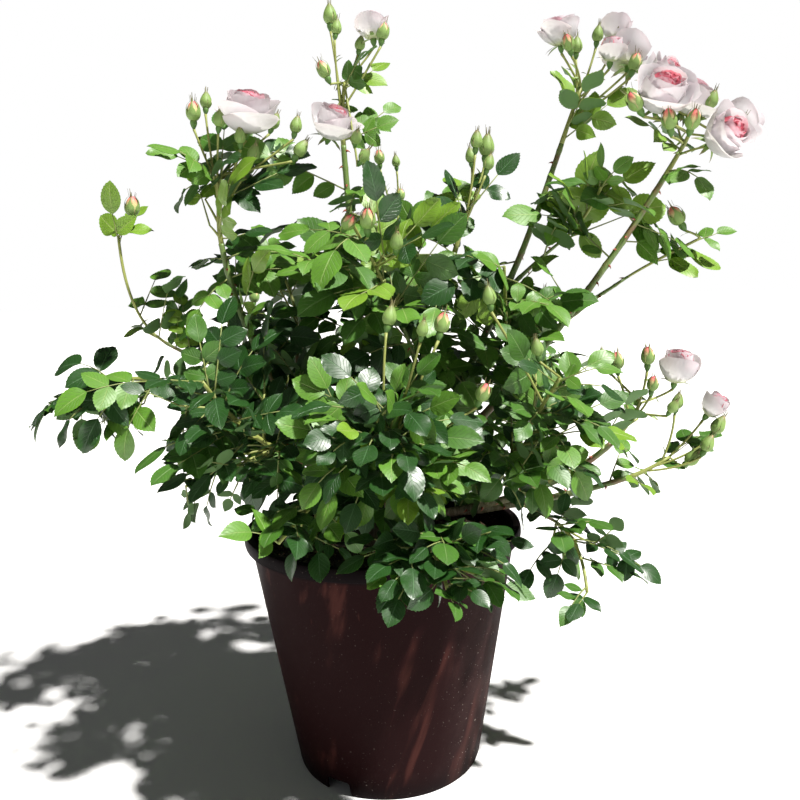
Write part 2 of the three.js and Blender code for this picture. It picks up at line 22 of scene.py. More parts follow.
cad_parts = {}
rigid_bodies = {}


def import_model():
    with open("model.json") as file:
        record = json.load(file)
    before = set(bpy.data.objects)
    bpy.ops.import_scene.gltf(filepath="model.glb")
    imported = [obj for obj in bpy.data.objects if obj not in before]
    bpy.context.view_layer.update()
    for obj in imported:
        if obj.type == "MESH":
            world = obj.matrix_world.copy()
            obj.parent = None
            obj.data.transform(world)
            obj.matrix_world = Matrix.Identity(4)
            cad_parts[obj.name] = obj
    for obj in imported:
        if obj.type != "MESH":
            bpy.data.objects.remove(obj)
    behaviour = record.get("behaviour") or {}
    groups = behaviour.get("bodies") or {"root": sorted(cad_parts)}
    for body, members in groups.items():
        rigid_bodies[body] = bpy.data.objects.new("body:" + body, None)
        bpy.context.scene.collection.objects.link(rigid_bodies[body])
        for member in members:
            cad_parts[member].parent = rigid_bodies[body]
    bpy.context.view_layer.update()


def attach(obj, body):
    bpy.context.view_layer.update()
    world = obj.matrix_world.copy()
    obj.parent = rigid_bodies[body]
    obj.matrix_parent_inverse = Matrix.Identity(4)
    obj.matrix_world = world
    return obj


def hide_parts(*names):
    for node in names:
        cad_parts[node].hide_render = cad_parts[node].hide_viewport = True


log = logging.getLogger("rose")

MM = 0.001
BODY = "root"
UP = np.array((0.0, 0.0, 1.0))
RIGHT = np.array((1.0, 0.0, 0.0))
NEARLY_UPRIGHT = 0.9
GOLDEN_TURN = math.radians(137.5)

Vec = np.ndarray
Generator = np.random.Generator
Triple = tuple[float, float, float]
Colour = Triple
Profile = tuple[tuple[float, float], ...]
Socket = bpy.types.NodeSocket
Material = bpy.types.Material
Object = bpy.types.Object
Inputs = dict[str | int, object]


# Vectors and curves


def vec(*xyz: float) -> Vec:
    """The given numbers as a vector."""
    return np.array(xyz, float)


def norm(way: Vec) -> float:
    """The length of a vector."""
    return float(np.linalg.norm(way))


def unit(way: Vec) -> Vec:
    """The direction of a vector, one long."""
    return way / max(norm(way), 1e-9)


def square_to(way: Vec) -> tuple[Vec, Vec]:
    """Two directions square to a direction and to each other."""
    first = unit(np.cross(RIGHT if abs(way[2]) > NEARLY_UPRIGHT else UP, way))
    return first, unit(np.cross(way, first))


def squared(way: Vec, axis: Vec) -> Vec:
    """The part of a direction that is square to an axis, one long."""
    return unit(way - axis * float(way @ axis))


def table(*columns: Vec) -> Vec:
    """Grids of numbers set side by side, one row to each place of the grid."""
    return np.stack(np.broadcast_arrays(*columns), -1).reshape(-1, len(columns))


def summed(steps: Vec) -> Vec:
    """The running total of steps, from 0."""
    return np.concatenate([[0], np.cumsum(steps)])


def distances(path: Vec) -> Vec:
    """How far along a path each of its points lies."""
    return summed(np.linalg.norm(np.diff(path, axis=0), axis=1))


def ripple(points: Vec, scale: float, seed: int) -> Vec:
    """Smooth unevenness in space, the same for the same seed.

    Args:
        points: Places, one to a row.
        scale: The size of the largest unevenness, in the unit of the points.
        seed: Picks the pattern.

    Returns:
        A number between about -1 and 1 for each place.
    """
    rng = np.random.default_rng(seed)
    total = np.zeros(len(points))
    for octave in range(3):
        waves = rng.normal(size=(5, 3)) * (2.0**octave) / scale
        starts = rng.uniform(0, math.tau, 5)
        total += np.sin(points @ waves.T * 2.2 + starts).sum(axis=1) / 5 / (1.6**octave)
    return total


@dataclass(frozen=True)
class Bend:
    """A curve from its start to its end, drawn towards the bend between them."""

    start: Vec
    bend: Vec
    end: Vec

    def at(self, share: float) -> Vec:
        """The point at a share of the way."""
        rest = 1 - share
        return rest * rest * self.start + 2 * share * rest * self.bend + share * share * self.end

    def heading(self, share: float) -> Vec:
        """The direction of the curve at a share of the way."""
        return unit((1 - share) * (self.bend - self.start) + share * (self.end - self.bend))

    def path(self, count: int) -> Vec:
        """Points along the curve, evenly spaced in its share."""
        return np.array([self.at(share) for share in np.linspace(0, 1, count)])

    def shortened(self, share: float) -> Bend:
        """The first stretch of the curve, up to a share of the way."""
        return Bend(self.start, self.start + (self.bend - self.start) * share, self.at(share))

    def length(self) -> float:
        """The length of the curve."""
        return float(np.linalg.norm(np.diff(self.path(25), axis=0), axis=1).sum())


# Meshes


@functools.lru_cache(maxsize=None)
def grid_faces(rows: int, columns: int, closed: bool) -> Vec:
    """Triangles between the rows of a grid of points.

    Args:
        rows: The number of rows.
        columns: The number of points in a row.
        closed: Whether the last column joins the first.

    Returns:
        Three point numbers to a row.
    """
    row, column = np.mgrid[0 : rows - 1, 0 : columns if closed else columns - 1]
    a = row * columns + column
    b = row * columns + (column + 1) % columns
    quads = np.stack([a, b, b + columns, a + columns], -1).reshape(-1, 4)
    return np.concatenate([quads[:, [0, 1, 2]], quads[:, [0, 2, 3]]])


@dataclass
class Shape:
    """A mesh: points, triangles, and each point's place on the surface."""

    points: Vec
    faces: Vec
    places: Vec

    def moved(self, axes: Vec, to: Vec, scale: float = 1.0) -> Shape:
        """The shape turned so that its own axes lie along the rows of `axes`, scaled, and set at `to`."""
        return Shape(self.points @ axes * scale + to, self.faces, self.places)

    def turns(self) -> Vec:
        """The turn of each point about the Z axis."""
        return np.arctan2(self.points[:, 1], self.points[:, 0])

    def outward(self) -> Vec:
        """The direction of each point from the Z axis."""
        turns = self.turns()
        return np.stack([np.cos(turns), np.sin(turns), 0 * turns], -1)


def tube(path: Vec, radii: Vec, sides: int, facing: Vec | None = None) -> Shape:
    """A round tube along a path, closed at both ends.

    Args:
        path: Points along the middle.
        radii: A radius for each point, or for each point and side.
        sides: How many sides it has.
        facing: The side on which the rings start.

    Returns:
        The tube. Its places run round and along, the latter in units of the path.
    """
    headings = np.gradient(path, axis=0)
    headings /= np.maximum(np.linalg.norm(headings, axis=1), 1e-9)[:, None]
    radii = np.broadcast_to(radii.reshape(len(path), -1), (len(path), sides))
    turns = np.linspace(0, math.tau, sides, endpoint=False)
    across = square_to(headings[0])[0] if facing is None else facing
    rings = []
    for point, heading, radius in zip(path, headings, radii):
        across = squared(across, heading)
        other = np.cross(heading, across)
        ring = np.outer(np.cos(turns) * radius, across) + np.outer(np.sin(turns) * radius, other)
        rings.append(point + ring)
    points = np.concatenate([*rings, path[[0]], path[[-1]]])
    faces = grid_faces(len(path), sides, True)
    side = np.arange(sides)
    ahead = (side + 1) % sides
    last = (len(path) - 1) * sides
    foot = np.stack([np.full(sides, len(path) * sides), ahead, side], -1)
    tip = np.stack([np.full(sides, len(path) * sides + 1), last + side, last + ahead], -1)
    steps = distances(path)
    places = np.concatenate([table(turns / math.tau, steps[:, None]), [[0, 0]], [[0, steps[-1]]]])
    return Shape(points, np.concatenate([faces, foot, tip]), places)


def turned(profile: Sequence[tuple[float, float]], sides: int) -> Shape:
    """A profile of radius and height turned about the Z axis.

    Args:
        profile: Radius and height pairs, in order.
        sides: How many sides it has.

    Returns:
        The turned surface.
    """
    outline = np.array(profile, float)
    turns = np.linspace(0, math.tau, sides, endpoint=False)
    radius = outline[:, :1]
    points = table(radius * np.cos(turns), radius * np.sin(turns), outline[:, 1:])
    places = table(turns / math.tau, np.linspace(0, 1, len(outline))[:, None])
    return Shape(points, grid_faces(len(outline), sides, True), places)


def in_scene(name: str, data: bpy.types.ID) -> Object:
    """A new object with the given data, put in the scene.

    Args:
        name: Its name.
        data: Its mesh, camera or light.

    Returns:
        The object.
    """
    made = bpy.data.objects.new(name, data)
    bpy.context.scene.collection.objects.link(made)
    return made


# Shader values

SMOOTH = {"interpolation_type": "SMOOTHSTEP", "clamp": True}


def opaque(value: object) -> object:
    """A colour with its alpha, or anything else as it is."""
    return (*value, 1.0) if isinstance(value, tuple) else value


class Value:
    """A number that changes over a surface, for use in arithmetic."""

    def __init__(self, paint: Paint, socket: Socket) -> None:
        """Wraps a socket of a paint's nodes."""
        self.paint = paint
        self.socket = socket

    def __add__(self, other: Value | float) -> Value:
        """The sum."""
        return self.paint.maths("ADD", self, other)

    __radd__ = __add__

    def __mul__(self, other: Value | float) -> Value:
        """The product."""
        return self.paint.maths("MULTIPLY", self, other)

    __rmul__ = __mul__

    def __sub__(self, other: Value | float) -> Value:
        """The difference."""
        return self.paint.maths("SUBTRACT", self, other)

    def __rsub__(self, other: float) -> Value:
        """The difference from a number."""
        return self.paint.maths("SUBTRACT", other, self)

    def __abs__(self) -> Value:
        """The size without its sign."""
        return self.paint.maths("ABSOLUTE", self)

    def fraction(self) -> Value:
        """What is over the whole number."""
        return self.paint.maths("FRACT", self)

    def ramp(self, low: float, high: float) -> Value:
        """0 below `low`, 1 above `high`, and smooth between. `low` may be the larger."""
        inputs = {"Value": self, "From Min": low, "From Max": high}
        return Value(self.paint, self.paint.node("ShaderNodeMapRange", SMOOTH, inputs).outputs["Result"])


class Nodes:
    """A tree of shader nodes under construction."""

    def __init__(self, tree: bpy.types.NodeTree) -> None:
        """Starts with an empty tree."""
        self.tree = tree
        self.tree.nodes.clear()

    def node(self, kind: str, settings: dict[str, object], inputs: Inputs) -> bpy.types.Node:
        """Adds a node.

        Args:
            kind: The node's type.
            settings: Its settings by name.
            inputs: Values or links of its sockets, by name or number.

        Returns:
            The node.
        """
        made = self.tree.nodes.new(kind)
        for name, setting in settings.items():
            setattr(made, name, setting)
        for key, value in inputs.items():
            socket = value.socket if isinstance(value, Value) else value
            if isinstance(socket, Socket):
                self.tree.links.new(socket, made.inputs[key])
            else:
                made.inputs[key].default_value = socket
        return made


class Paint(Nodes):
    """A material under construction."""

    def __init__(self, name: str) -> None:
        """Starts an empty material.

        Args:
            name: The material's name.
        """
        self.material = bpy.data.materials.new(name)
        self.material.use_nodes = True
        super().__init__(self.material.node_tree)

    def maths(self, operation: str, *values: Value | float) -> Value:
        """A Math node on the given values."""
        node = self.node("ShaderNodeMath", {"operation": operation}, dict(enumerate(values)))
        return Value(self, node.outputs[0])

    def mixed(self, share: Value, first: object, second: object) -> Socket:
        """The first colour with a share of the second, each a colour or a socket."""
        inputs = {0: share, 6: opaque(first), 7: opaque(second)}
        return self.node("ShaderNodeMix", {"data_type": "RGBA"}, inputs).outputs[2]

    def place(self, stretch: Triple = (1, 1, 1), on_surface: bool = False) -> Socket:
        """The place in the object, or on its surface, stretched along each axis."""
        source = self.node("ShaderNodeTexCoord", {}, {}).outputs["UV" if on_surface else "Object"]
        return self.node("ShaderNodeMapping", {}, {"Vector": source, "Scale": stretch}).outputs[0]

    def along(self, place: Socket) -> tuple[Value, Value, Value]:
        """The three numbers of a place."""
        node = self.node("ShaderNodeSeparateXYZ", {}, {0: place})
        return tuple(Value(self, socket) for socket in node.outputs)

    def noise(self, place: Socket, scale: float, detail: float = 3.0) -> Value:
        """Even noise from 0 to 1 at a scale."""
        node = self.node("ShaderNodeTexNoise", {}, {"Vector": place, "Scale": scale, "Detail": detail})
        return Value(self, node.outputs[0])

    def bump(self, height: Value, depth: float, strength: float = 1.0) -> Socket:
        """A surface direction with relief, `depth` metres from its low to its high places."""
        inputs = {"Height": height, "Distance": depth, "Strength": strength}
        return self.node("ShaderNodeBump", {}, inputs).outputs[0]

    def surface(self, inputs: Inputs, through: Colour | None = None, share: float = 0.0) -> Material:
        """Completes the material.

        Args:
            inputs: What the Principled shader takes.
            through: The colour of the light that comes through, if any does.
            share: How much of the light comes through.

        Returns:
            The material.
        """
        shaded = {key: opaque(value) for key, value in inputs.items()}
        shader = self.node("ShaderNodeBsdfPrincipled", {}, shaded).outputs[0]
        if through is not None:
            passed = self.node("ShaderNodeBsdfTranslucent", {}, {0: opaque(through)}).outputs[0]
            shader = self.node("ShaderNodeMixShader", {}, {0: share, 1: shader, 2: passed}).outputs[0]
        self.node("ShaderNodeOutputMaterial", {}, {0: shader})
        return self.material


# Finishes


@dataclass(frozen=True)
class PotPlastic:
    """Dark maroon moulded plastic with scuffs, scratches and dust, painted shade on the lip and foot, and
    painted light with the dust on its right side.
    """

    base: Colour = (0.0118, 0.0034, 0.0036)
    scuff: Colour = (0.062, 0.02, 0.016)
    # Real dust at the foot, and dust on the right side that also stands for painted light.
    dust_and_light: Colour = (0.04, 0.023, 0.022)
    slant: float = 0.3
    # Near black for painted shade on the lip and at the foot.
    shade_black: Colour = (0.003, 0.0025, 0.003)
    speck: Colour = (0.3, 0.25, 0.22)
    lip_foot: float = 0.226
    shaded_foot: float = 0.03

    def material(self) -> Material:
        """Paints the finish.

        Returns:
            Its material.
        """
        paint = Paint("pot_plastic")
        place = paint.place()
        x, y, z = paint.along(place)
        slanted = {0: x - z * self.slant, 1: y, 2: z * 0.14}
        upright = paint.node("ShaderNodeCombineXYZ", {}, slanted).outputs[0]
        patches = paint.noise(upright, 36.0, 4.0)
        where = paint.noise(place, 9.0, 2.0)
        scuffs = patches.ramp(0.57, 0.69) * where.ramp(0.44, 0.58) * 0.7
        lean = paint.noise(paint.place((1.0, 1.0, 0.05)), 210.0, 2.0)
        scratches = lean.ramp(0.7, 0.76) * where.ramp(0.5, 0.6) * 0.35
        curls = 1.0 - abs(paint.noise(place, 150.0, 2.0) - 0.5).ramp(0.0, 0.05)
        # Painted light with real dust and curls: the right side, towards the key light, turns lighter and
        # greyer.
        right_side = (x * 9.0 + y * 3.0).ramp(0.1, 0.6)
        dust_and_lit_side = right_side * (paint.noise(place, 60.0, 6.0).ramp(0.2, 0.7) + curls * 0.4)
        low = z.ramp(0.07, 0.0) * paint.noise(place, 90.0, 4.0).ramp(0.45, 0.8)
        specks = paint.noise(place, 520.0, 1.0).ramp(0.73, 0.77) * (dust_and_lit_side + low + 0.12)
        colour = paint.mixed(scuffs + scratches, self.base, self.scuff)
        colour = paint.mixed(dust_and_lit_side * 0.55 + low * 0.16, colour, self.dust_and_light)
        # Painted shade: the lip turns near black, and the lowest few centimetres darken.
        colour = paint.mixed(z.ramp(self.lip_foot, self.lip_foot + 0.006) * 0.85, colour, self.shade_black)
        colour = paint.mixed(z.ramp(self.shaded_foot, 0.0) * 0.6, colour, self.shade_black)
        colour = paint.mixed(specks, colour, self.speck)
        rough = paint.noise(place, 40.0, 4.0) * 0.2 + dust_and_lit_side * 0.2 + 0.42
        relief = paint.noise(place, 900.0, 2.0) * 0.35 + patches
        inputs = {"Base Color": colour, "Roughness": rough, "Normal": paint.bump(relief, 0.0006, 0.5)}
        return paint.surface({**inputs, "Specular IOR Level": 0.03})


@dataclass(frozen=True)
class PottingMix:
    """Dark moist potting mix, or the brown crumbs on it."""

    name: str
    dark: Colour
    light: Colour

    def material(self) -> Material:
        """Paints the finish.

        Returns:
            Its material.
        """
        paint = Paint(self.name)
        place = paint.place()
        clods = paint.noise(place, 140.0, 6.0)
        grains = paint.noise(place, 700.0, 3.0)
        colour = paint.mixed((clods * 0.6 + grains * 0.4).ramp(0.4, 0.66), self.dark, self.light)
        bump = paint.bump(clods + grains * 0.5, 0.004)
        return paint.surface({"Base Color": colour, "Roughness": 0.92, "Normal": bump})


@dataclass(frozen=True)
class Bark:
    """Bark that is grey-brown at the foot and green with a red-brown tint above."""

    name: str
    old: Colour = (0.11, 0.078, 0.048)
    cork: Colour = (0.2, 0.16, 0.115)
    green: Colour = (0.12, 0.19, 0.045)
    tan: Colour = (0.17, 0.1, 0.05)
    green_from: float = 0.27
    green_to: float = 0.42
    outward: float = 0.5

    def material(self) -> Material:
        """Paints the finish.

        Returns:
            Its material.
        """
        paint = Paint(self.name)
        place = paint.place()
        across, _, height = paint.along(place)
        blotches = paint.noise(place, 55.0, 4.0)
        streaks = paint.noise(paint.place((1.0, 1.0, 0.2)), 420.0, 4.0)
        rough_bark = paint.mixed(streaks.ramp(0.42, 0.62), self.old, self.cork)
        smooth_bark = paint.mixed(blotches.ramp(0.5, 0.68), self.green, self.tan)
        reach = height + abs(across) * self.outward
        share = (reach + (blotches - 0.5) * 0.12).ramp(self.green_from, self.green_to)
        colour = paint.mixed(share, rough_bark, smooth_bark)
        bump = paint.bump(streaks, 0.0006, 0.7)
        return paint.surface({"Base Color": colour, "Roughness": 0.62 - share * 0.18, "Normal": bump})


@dataclass(frozen=True)
class LeafBlade:
    """A leaflet's face, with a paler rib and side veins."""

    name: str
    blade: Colour
    rib: Colour
    through: Colour
    roughness: float = 0.46
    passed: float = 0.15

    def material(self) -> Material:
        """Paints the finish.

        Returns:
            Its material.
        """
        paint = Paint(self.name)
        across, along, _ = paint.along(paint.place(on_surface=True))
        aside = abs(across)
        rib = aside.ramp(0.075, 0.015)
        veins = abs((along * 7.5 - aside * 2.6).fraction() - 0.5).ramp(0.1, 0.0) * aside.ramp(1.0, 0.7)
        mottled = paint.noise(paint.place(), 260.0, 3.0).ramp(0.35, 0.7)
        colour = paint.mixed(mottled * 0.35, self.blade, tuple(0.72 * part for part in self.blade))
        colour = paint.mixed(rib * 0.75 + veins * 0.22, colour, self.rib)
        bump = paint.bump(1.0 - rib * 0.9 - veins * 0.7, 0.0005, 0.8)
        inputs = {"Base Color": colour, "Roughness": mottled * 0.12 + self.roughness, "Normal": bump}
        inputs |= {"Coat Weight": 0.4, "Coat Roughness": 0.42}
        return paint.surface(inputs, self.through, self.passed)


@dataclass(frozen=True)
class Soft:
    """A plain finish that turns from one colour at the foot to another at the tip."""

    name: str
    foot: Colour
    tip: Colour
    roughness: float
    through: Colour | None = None
    passed: float = 0.0
    low: float = 0.0
    high: float = 1.0
    grain: float = 500.0

    def material(self) -> Material:
        """Paints the finish.

        Returns:
            Its material.
        """
        paint = Paint(self.name)
        along = paint.along(paint.place(on_surface=True))[1]
        fine = paint.noise(paint.place(), self.grain, 3.0)
        share = (along + (fine - 0.5) * 0.25).ramp(self.low, self.high)
        colour = paint.mixed(share, self.foot, self.tip)
        bump = paint.bump(fine, 0.0002, 0.6)
        inputs = {"Base Color": colour, "Roughness": fine * 0.15 + self.roughness, "Normal": bump}
        return paint.surface(inputs, self.through, self.passed)


@dataclass(frozen=True)
class PetalSkin:
    """A petal: greenish at the foot, then its own colour, and flushed with pink along its edge."""

    name: str
    foot: Colour
    blade: Colour
    flush: Colour
    flushed: float
    through: Colour
    passed: float = 0.3

    def material(self) -> Material:
        """Paints the finish.

        Returns:
            Its material.
        """
        paint = Paint(self.name)
        across, along, _ = paint.along(paint.place(on_surface=True))
        fine = paint.noise(paint.place(), 300.0, 3.0)
        ribs = paint.noise(paint.place((26.0, 1.6, 1.0), on_surface=True), 1.0, 2.0)
        colour = paint.mixed((along + (fine - 0.5) * 0.1).ramp(0.08, 0.42), self.foot, self.blade)
        edge = (along * along * 0.7 + abs(across) * 0.45 + (fine - 0.5) * 0.5).ramp(0.35, 1.05)
        colour = paint.mixed(edge * self.flushed, colour, self.flush)
        bump = paint.bump(ribs, 0.0002, 0.4)
        inputs = {"Base Color": colour, "Roughness": fine * 0.15 + 0.5, "Normal": bump}
        return paint.surface(inputs, self.through, self.passed)


Finish = PotPlastic | PottingMix | Bark | LeafBlade | Soft | PetalSkin


@dataclass
class Gathered:
    """Small meshes of one kind, which are joined into one piece."""

    name: str
    finish: Finish
    slot: str
    nodes: tuple[str, ...]
    shapes: list[Shape] = field(default_factory=list)
    flat: bool = False

    def add(self, shape: Shape) -> None:
        """Adds a mesh to the piece."""
        self.shapes.append(shape)

    def join(self) -> Object:
        """Makes the piece from all its meshes, dresses it, hides the parts that it replaces, and logs it.

        Returns:
            The piece, which rides on the part's one body.
        """
        starts = np.cumsum([0, *(len(shape.points) for shape in self.shapes)])
        points = np.concatenate([shape.points for shape in self.shapes]) * MM
        faces = np.concatenate([shape.faces + start for shape, start in zip(self.shapes, starts)])
        places = np.concatenate([shape.places for shape in self.shapes])
        mesh = bpy.data.meshes.new(self.name)
        mesh.vertices.add(len(points))
        mesh.vertices.foreach_set("co", points.astype(np.float32).ravel())
        mesh.loops.add(3 * len(faces))
        mesh.loops.foreach_set("vertex_index", faces.astype(np.int32).ravel())
        mesh.polygons.add(len(faces))
        mesh.polygons.foreach_set("loop_start", np.arange(0, 3 * len(faces), 3, dtype=np.int32))
        mesh.polygons.foreach_set("use_smooth", np.full(len(faces), not self.flat))
        at_corners = places[faces.ravel()].astype(np.float32)
        mesh.uv_layers.new(name="Surface").data.foreach_set("uv", at_corners.ravel())
        mesh.update()
        mesh.validate()
        piece = in_scene(self.name, mesh)
        piece.data.materials.append(self.finish.material())
        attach(piece, BODY)
        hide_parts(*self.nodes)
        log.info("%s: %d faces", self.name, len(piece.data.polygons))
        return piece


# Pot, soil and root crown


@dataclass
class Pot:
    """The round pot: a thin tapered wall, a rolled lip, a floor and a notched foot."""

    rim: float = 140.0
    height: float = 245.0
    foot: float = 94.5
    wall: float = 2.4
    lip: float = 13.0
    overhang: float = 7.0
    floor: float = 15.0
    sides: int = 192
    notches: int = 4
    notch_width: float = 26.0
    notch_height: float = 15.0
    notch_corner: float = 3.0
    notch_reach: float = 14.0
    first_notch: float = 239.0
    smooth_angle: float = 38.0

    def wall_radius(self, z: float) -> float:
        """The outer radius of the wall at a height."""
        top = self.rim - self.overhang
        return self.foot + (top - self.foot) * min(z / (self.height - self.lip), 1.0)

    def inner_radius(self, z: float) -> float:
        """The inner radius of the wall at a height."""
        return self.wall_radius(z) - self.wall

    def profile(self) -> list[tuple[float, float]]:
        """The pot's closed outline.

        Returns:
            Radius and height pairs, from the middle of its underside round to the middle of its floor.
        """
        lip_foot = self.height - self.lip
        heights = np.linspace(4.0, lip_foot - 2.0, 40)
        outer = [(self.wall_radius(z), z) for z in heights]
        middle = self.height - self.lip / 2
        lip = [
            (self.rim - 2.0 + 2.0 * math.cos(turn), middle + (self.lip / 2) * math.sin(turn))
            for turn in np.linspace(-1.45, 1.2, 11)
        ]
        inner_top = self.inner_radius(lip_foot)
        roll = [
            (self.rim - 3.2, self.height - 0.1),
            (inner_top + 1.6, self.height - 0.4),
            (inner_top + 0.3, self.height - 2.0),
        ]
        inner = [(self.inner_radius(z), z) for z in np.linspace(lip_foot, self.floor + 5.0, 24)]
        return [
            (0.01, self.floor),
            (self.inner_radius(0) - 3.0, self.floor),
            (self.inner_radius(self.floor), self.floor - 2.0),
            (self.inner_radius(2.0), 0.6),
            (self.wall_radius(0) - 1.6, 0.0),
            (self.wall_radius(0) - 0.5, 0.4),
            (self.wall_radius(0.0), 1.6),
            *outer,
            (self.wall_radius(lip_foot), lip_foot),
            (self.rim - 4.0, lip_foot + 0.3),
            *lip,
            *roll,
            *inner,
            (self.inner_radius(self.floor) - 3.0, self.floor + self.wall),
            (0.01, self.floor + self.wall),
        ]

    def notch(self, turn: float) -> Object:
        """A block with rounded upper corners that cuts one notch.

        Args:
            turn: Its turn about the pot's axis, in degrees.

        Returns:
            The block.
        """
        half = self.notch_width / 2
        corner = self.notch_corner
        arch = [
            (half - corner + corner * math.sin(a), self.notch_height - corner + corner * math.cos(a))
            for a in np.linspace(math.pi / 2, 0, 5)
        ]
        outline = [(half + 1.0, -5.0), *arch]
        outline += [(-across, height) for across, height in reversed(outline)]
        mesh = bpy.data.meshes.new("notch")
        near, far = self.foot - self.notch_reach, self.foot + self.notch_reach
        count = len(outline)
        points = [(radius, across, height) for radius in (near, far) for across, height in outline]
        sides = [(n, (n + 1) % count, (n + 1) % count + count, n + count) for n in range(count)]
        mesh.from_pydata(points, [], [tuple(range(count))[::-1], tuple(range(count, 2 * count)), *sides])
        mesh.transform(Matrix.Rotation(math.radians(turn), 4, "Z"))
        mesh.transform(Matrix.Scale(MM, 4))
        return in_scene("notch", mesh)

    def build(self) -> Object:
        """Builds and dresses the pot.

        Returns:
            The pot's piece.
        """
        shape = turned(self.profile(), self.sides)
        turns = shape.turns()
        sag = 0.35 * np.sin(2 * turns + 0.6) + 0.2 * np.sin(5 * turns)
        lift = np.clip(shape.points[:, 2] / self.height, 0, 1)[:, None]
        shape.points += shape.outward() * sag[:, None] * lift
        piece = Gathered("pot_shell", PotPlastic(), "pot_plastic", ("pot",), [shape]).join()
        for n in range(self.notches):
            block = self.notch(self.first_notch + n * 360 / self.notches)
            cut = piece.modifiers.new("notch", "BOOLEAN")
            cut.operation = "DIFFERENCE"
            cut.object = block
            cut.solver = "EXACT"
            with bpy.context.temp_override(object=piece, active_object=piece):
                bpy.ops.object.modifier_apply(modifier=cut.name)
            bpy.data.objects.remove(block)
        piece.data.set_sharp_from_angle(angle=math.radians(self.smooth_angle))
        return piece


@dataclass
class Soil:
    """The potting mix, from the pot's floor to a low uneven mound, and the crumbs on it."""

    pot: Pot
    gap: float = 0.3
    edge: float = 220.0
    mound: float = 7.0
    flat: float = 45.0
    sides: int = 120
    rings: int = 34
    crumbs: int = 1500

    @property
    def limit(self) -> float:
        """The radius of the surface."""
        return self.pot.inner_radius(self.edge) - self.gap

    def top(self, radius: float) -> float:
        """The height of the surface at a radius."""
        share = np.clip((radius - self.flat) / (self.limit - self.flat), 0, 1)
        return self.edge + self.mound * (1 - share**1.6)

    def build(self) -> None:
        """Builds and dresses the mix and its crumbs."""
        floor = self.pot.floor + self.pot.wall + self.gap
        radii = np.linspace(self.limit, 0.5, self.rings)
        profile = [(0.5, floor), (self.pot.inner_radius(floor) - self.gap, floor)]
        profile += [(float(r), float(self.top(r))) for r in radii]
        shape = turned(profile, self.sides)
        on_top = shape.points[:, 2] > self.edge - 1
        inside = np.linalg.norm(shape.points[:, :2], axis=1) < self.limit - 0.1
        relief = ripple(shape.points, 26.0, 5) * 1.1 + ripple(shape.points, 7.0, 6) * 0.7 - 1.2
        shape.points[:, 2] += np.where(on_top & inside, relief, 0)
        mix = PottingMix("potting_mix", (0.012, 0.008, 0.005), (0.06, 0.04, 0.025))
        Gathered("soil_mound", mix, "potting_mix", ("soil",), [shape]).join()

        rng = np.random.default_rng(31)
        crumb_mix = PottingMix("bark_crumbs", (0.03, 0.018, 0.01), (0.16, 0.1, 0.055))
        gathered = Gathered("soil_crumbs", crumb_mix, "potting_mix", ("soil",), flat=True)
        for _ in range(self.crumbs):
            radius = (self.limit - 4) * math.sqrt(rng.random())
            turn = rng.random() * math.tau
            size = rng.uniform(1.1, 2.6) if rng.random() < 0.8 else rng.uniform(2.6, 5.0)
            at = vec(radius * math.cos(turn), radius * math.sin(turn), self.top(radius) - 0.4)
            gathered.add(self.crumb(rng, at, size))
        gathered.join()

    def crumb(self, rng: Generator, at: Vec, size: float) -> Shape:
        """One chip of bark or clod of mix.

        Args:
            rng: Deals out its shape.
            at: Its middle.
            size: Its half length.

        Returns:
            The chip.
        """
        corners = np.array([(1, 0, 0), (0, 1, 0), (-1, 0, 0), (0, -1, 0), (0, 0, 1), (0, 0, -1)], float)
        corners *= 1 + rng.uniform(-0.3, 0.3, corners.shape)
        corners *= (size, size * rng.uniform(0.4, 0.9), size * rng.uniform(0.25, 0.6))
        across, other = square_to(unit(rng.normal(size=3) * (1, 1, 0.35)))
        axes = np.stack([across, other, np.cross(across, other)])
        upper = [(0, 1, 4), (1, 2, 4), (2, 3, 4), (3, 0, 4)]
        lower = [(1, 0, 5), (2, 1, 5), (3, 2, 5), (0, 3, 5)]
        return Shape(corners, np.array(upper + lower), np.zeros((6, 2))).moved(axes, at)


@dataclass
class RootCrown:
    """The stump of old wood on the soil that the canes rise from."""

    foot: float = 227.3
    height: float = 44.0
    profile: Profile = ((0, 27), (0.16, 19), (0.36, 17), (0.6, 22), (0.84, 20), (1, 14))
    sides: int = 64
    rings: int = 44

    def build(self) -> None:
        """Builds and dresses the stump, with ridges and knuckles in its bark."""
        shares = np.linspace(0, 1, self.rings)
        known = np.array(self.profile)
        radii = np.interp(shares, known[:, 0], known[:, 1])
        outline = [(float(r), self.foot + float(s) * self.height) for s, r in zip(shares, radii)]
        shape = turned([(0.2, self.foot), *outline, (0.2, self.foot + self.height)], self.sides)
        relief = ripple(shape.points, 16.0, 11) * 1.5 + ripple(shape.points * (1, 1, 0.3), 3.4, 12) * 0.7
        radius = np.linalg.norm(shape.points[:, :2], axis=1)
        shape.points += shape.outward() * (relief * np.clip(radius / 10, 0, 1))[:, None]
        finish = Bark("old_bark", green_from=0.9, green_to=1.0)
        Gathered("stump", finish, "old_bark", ("root_crown",), [shape]).join()


# Where the limbs and masses are


@dataclass(frozen=True)
class Ring:
    """A ring on the root crown on which canes start."""

    radius: float
    height: float


SIDE_RING = Ring(9.0, 22.0)
TOP_RING = Ring(8.6, 34.0)
SOIL_TOP = 227.0
GAP = 0.3
CANE_FOOT = 4.6
BOUGH_FOOT_SHARE = 0.72
TIP_SHARE = 0.58
ENTRY_DEPTH = 0.85
STEM_DEPTH = 0.45
FIRST_SEED = 101
EVEN_RISE = 0.7549
EVEN_TURN = 0.5698
OUTWARD_LEAN = 0.45
CROWN_MIDDLE = vec(0, 0, 380)
WORD = 0xFFFFFFFF


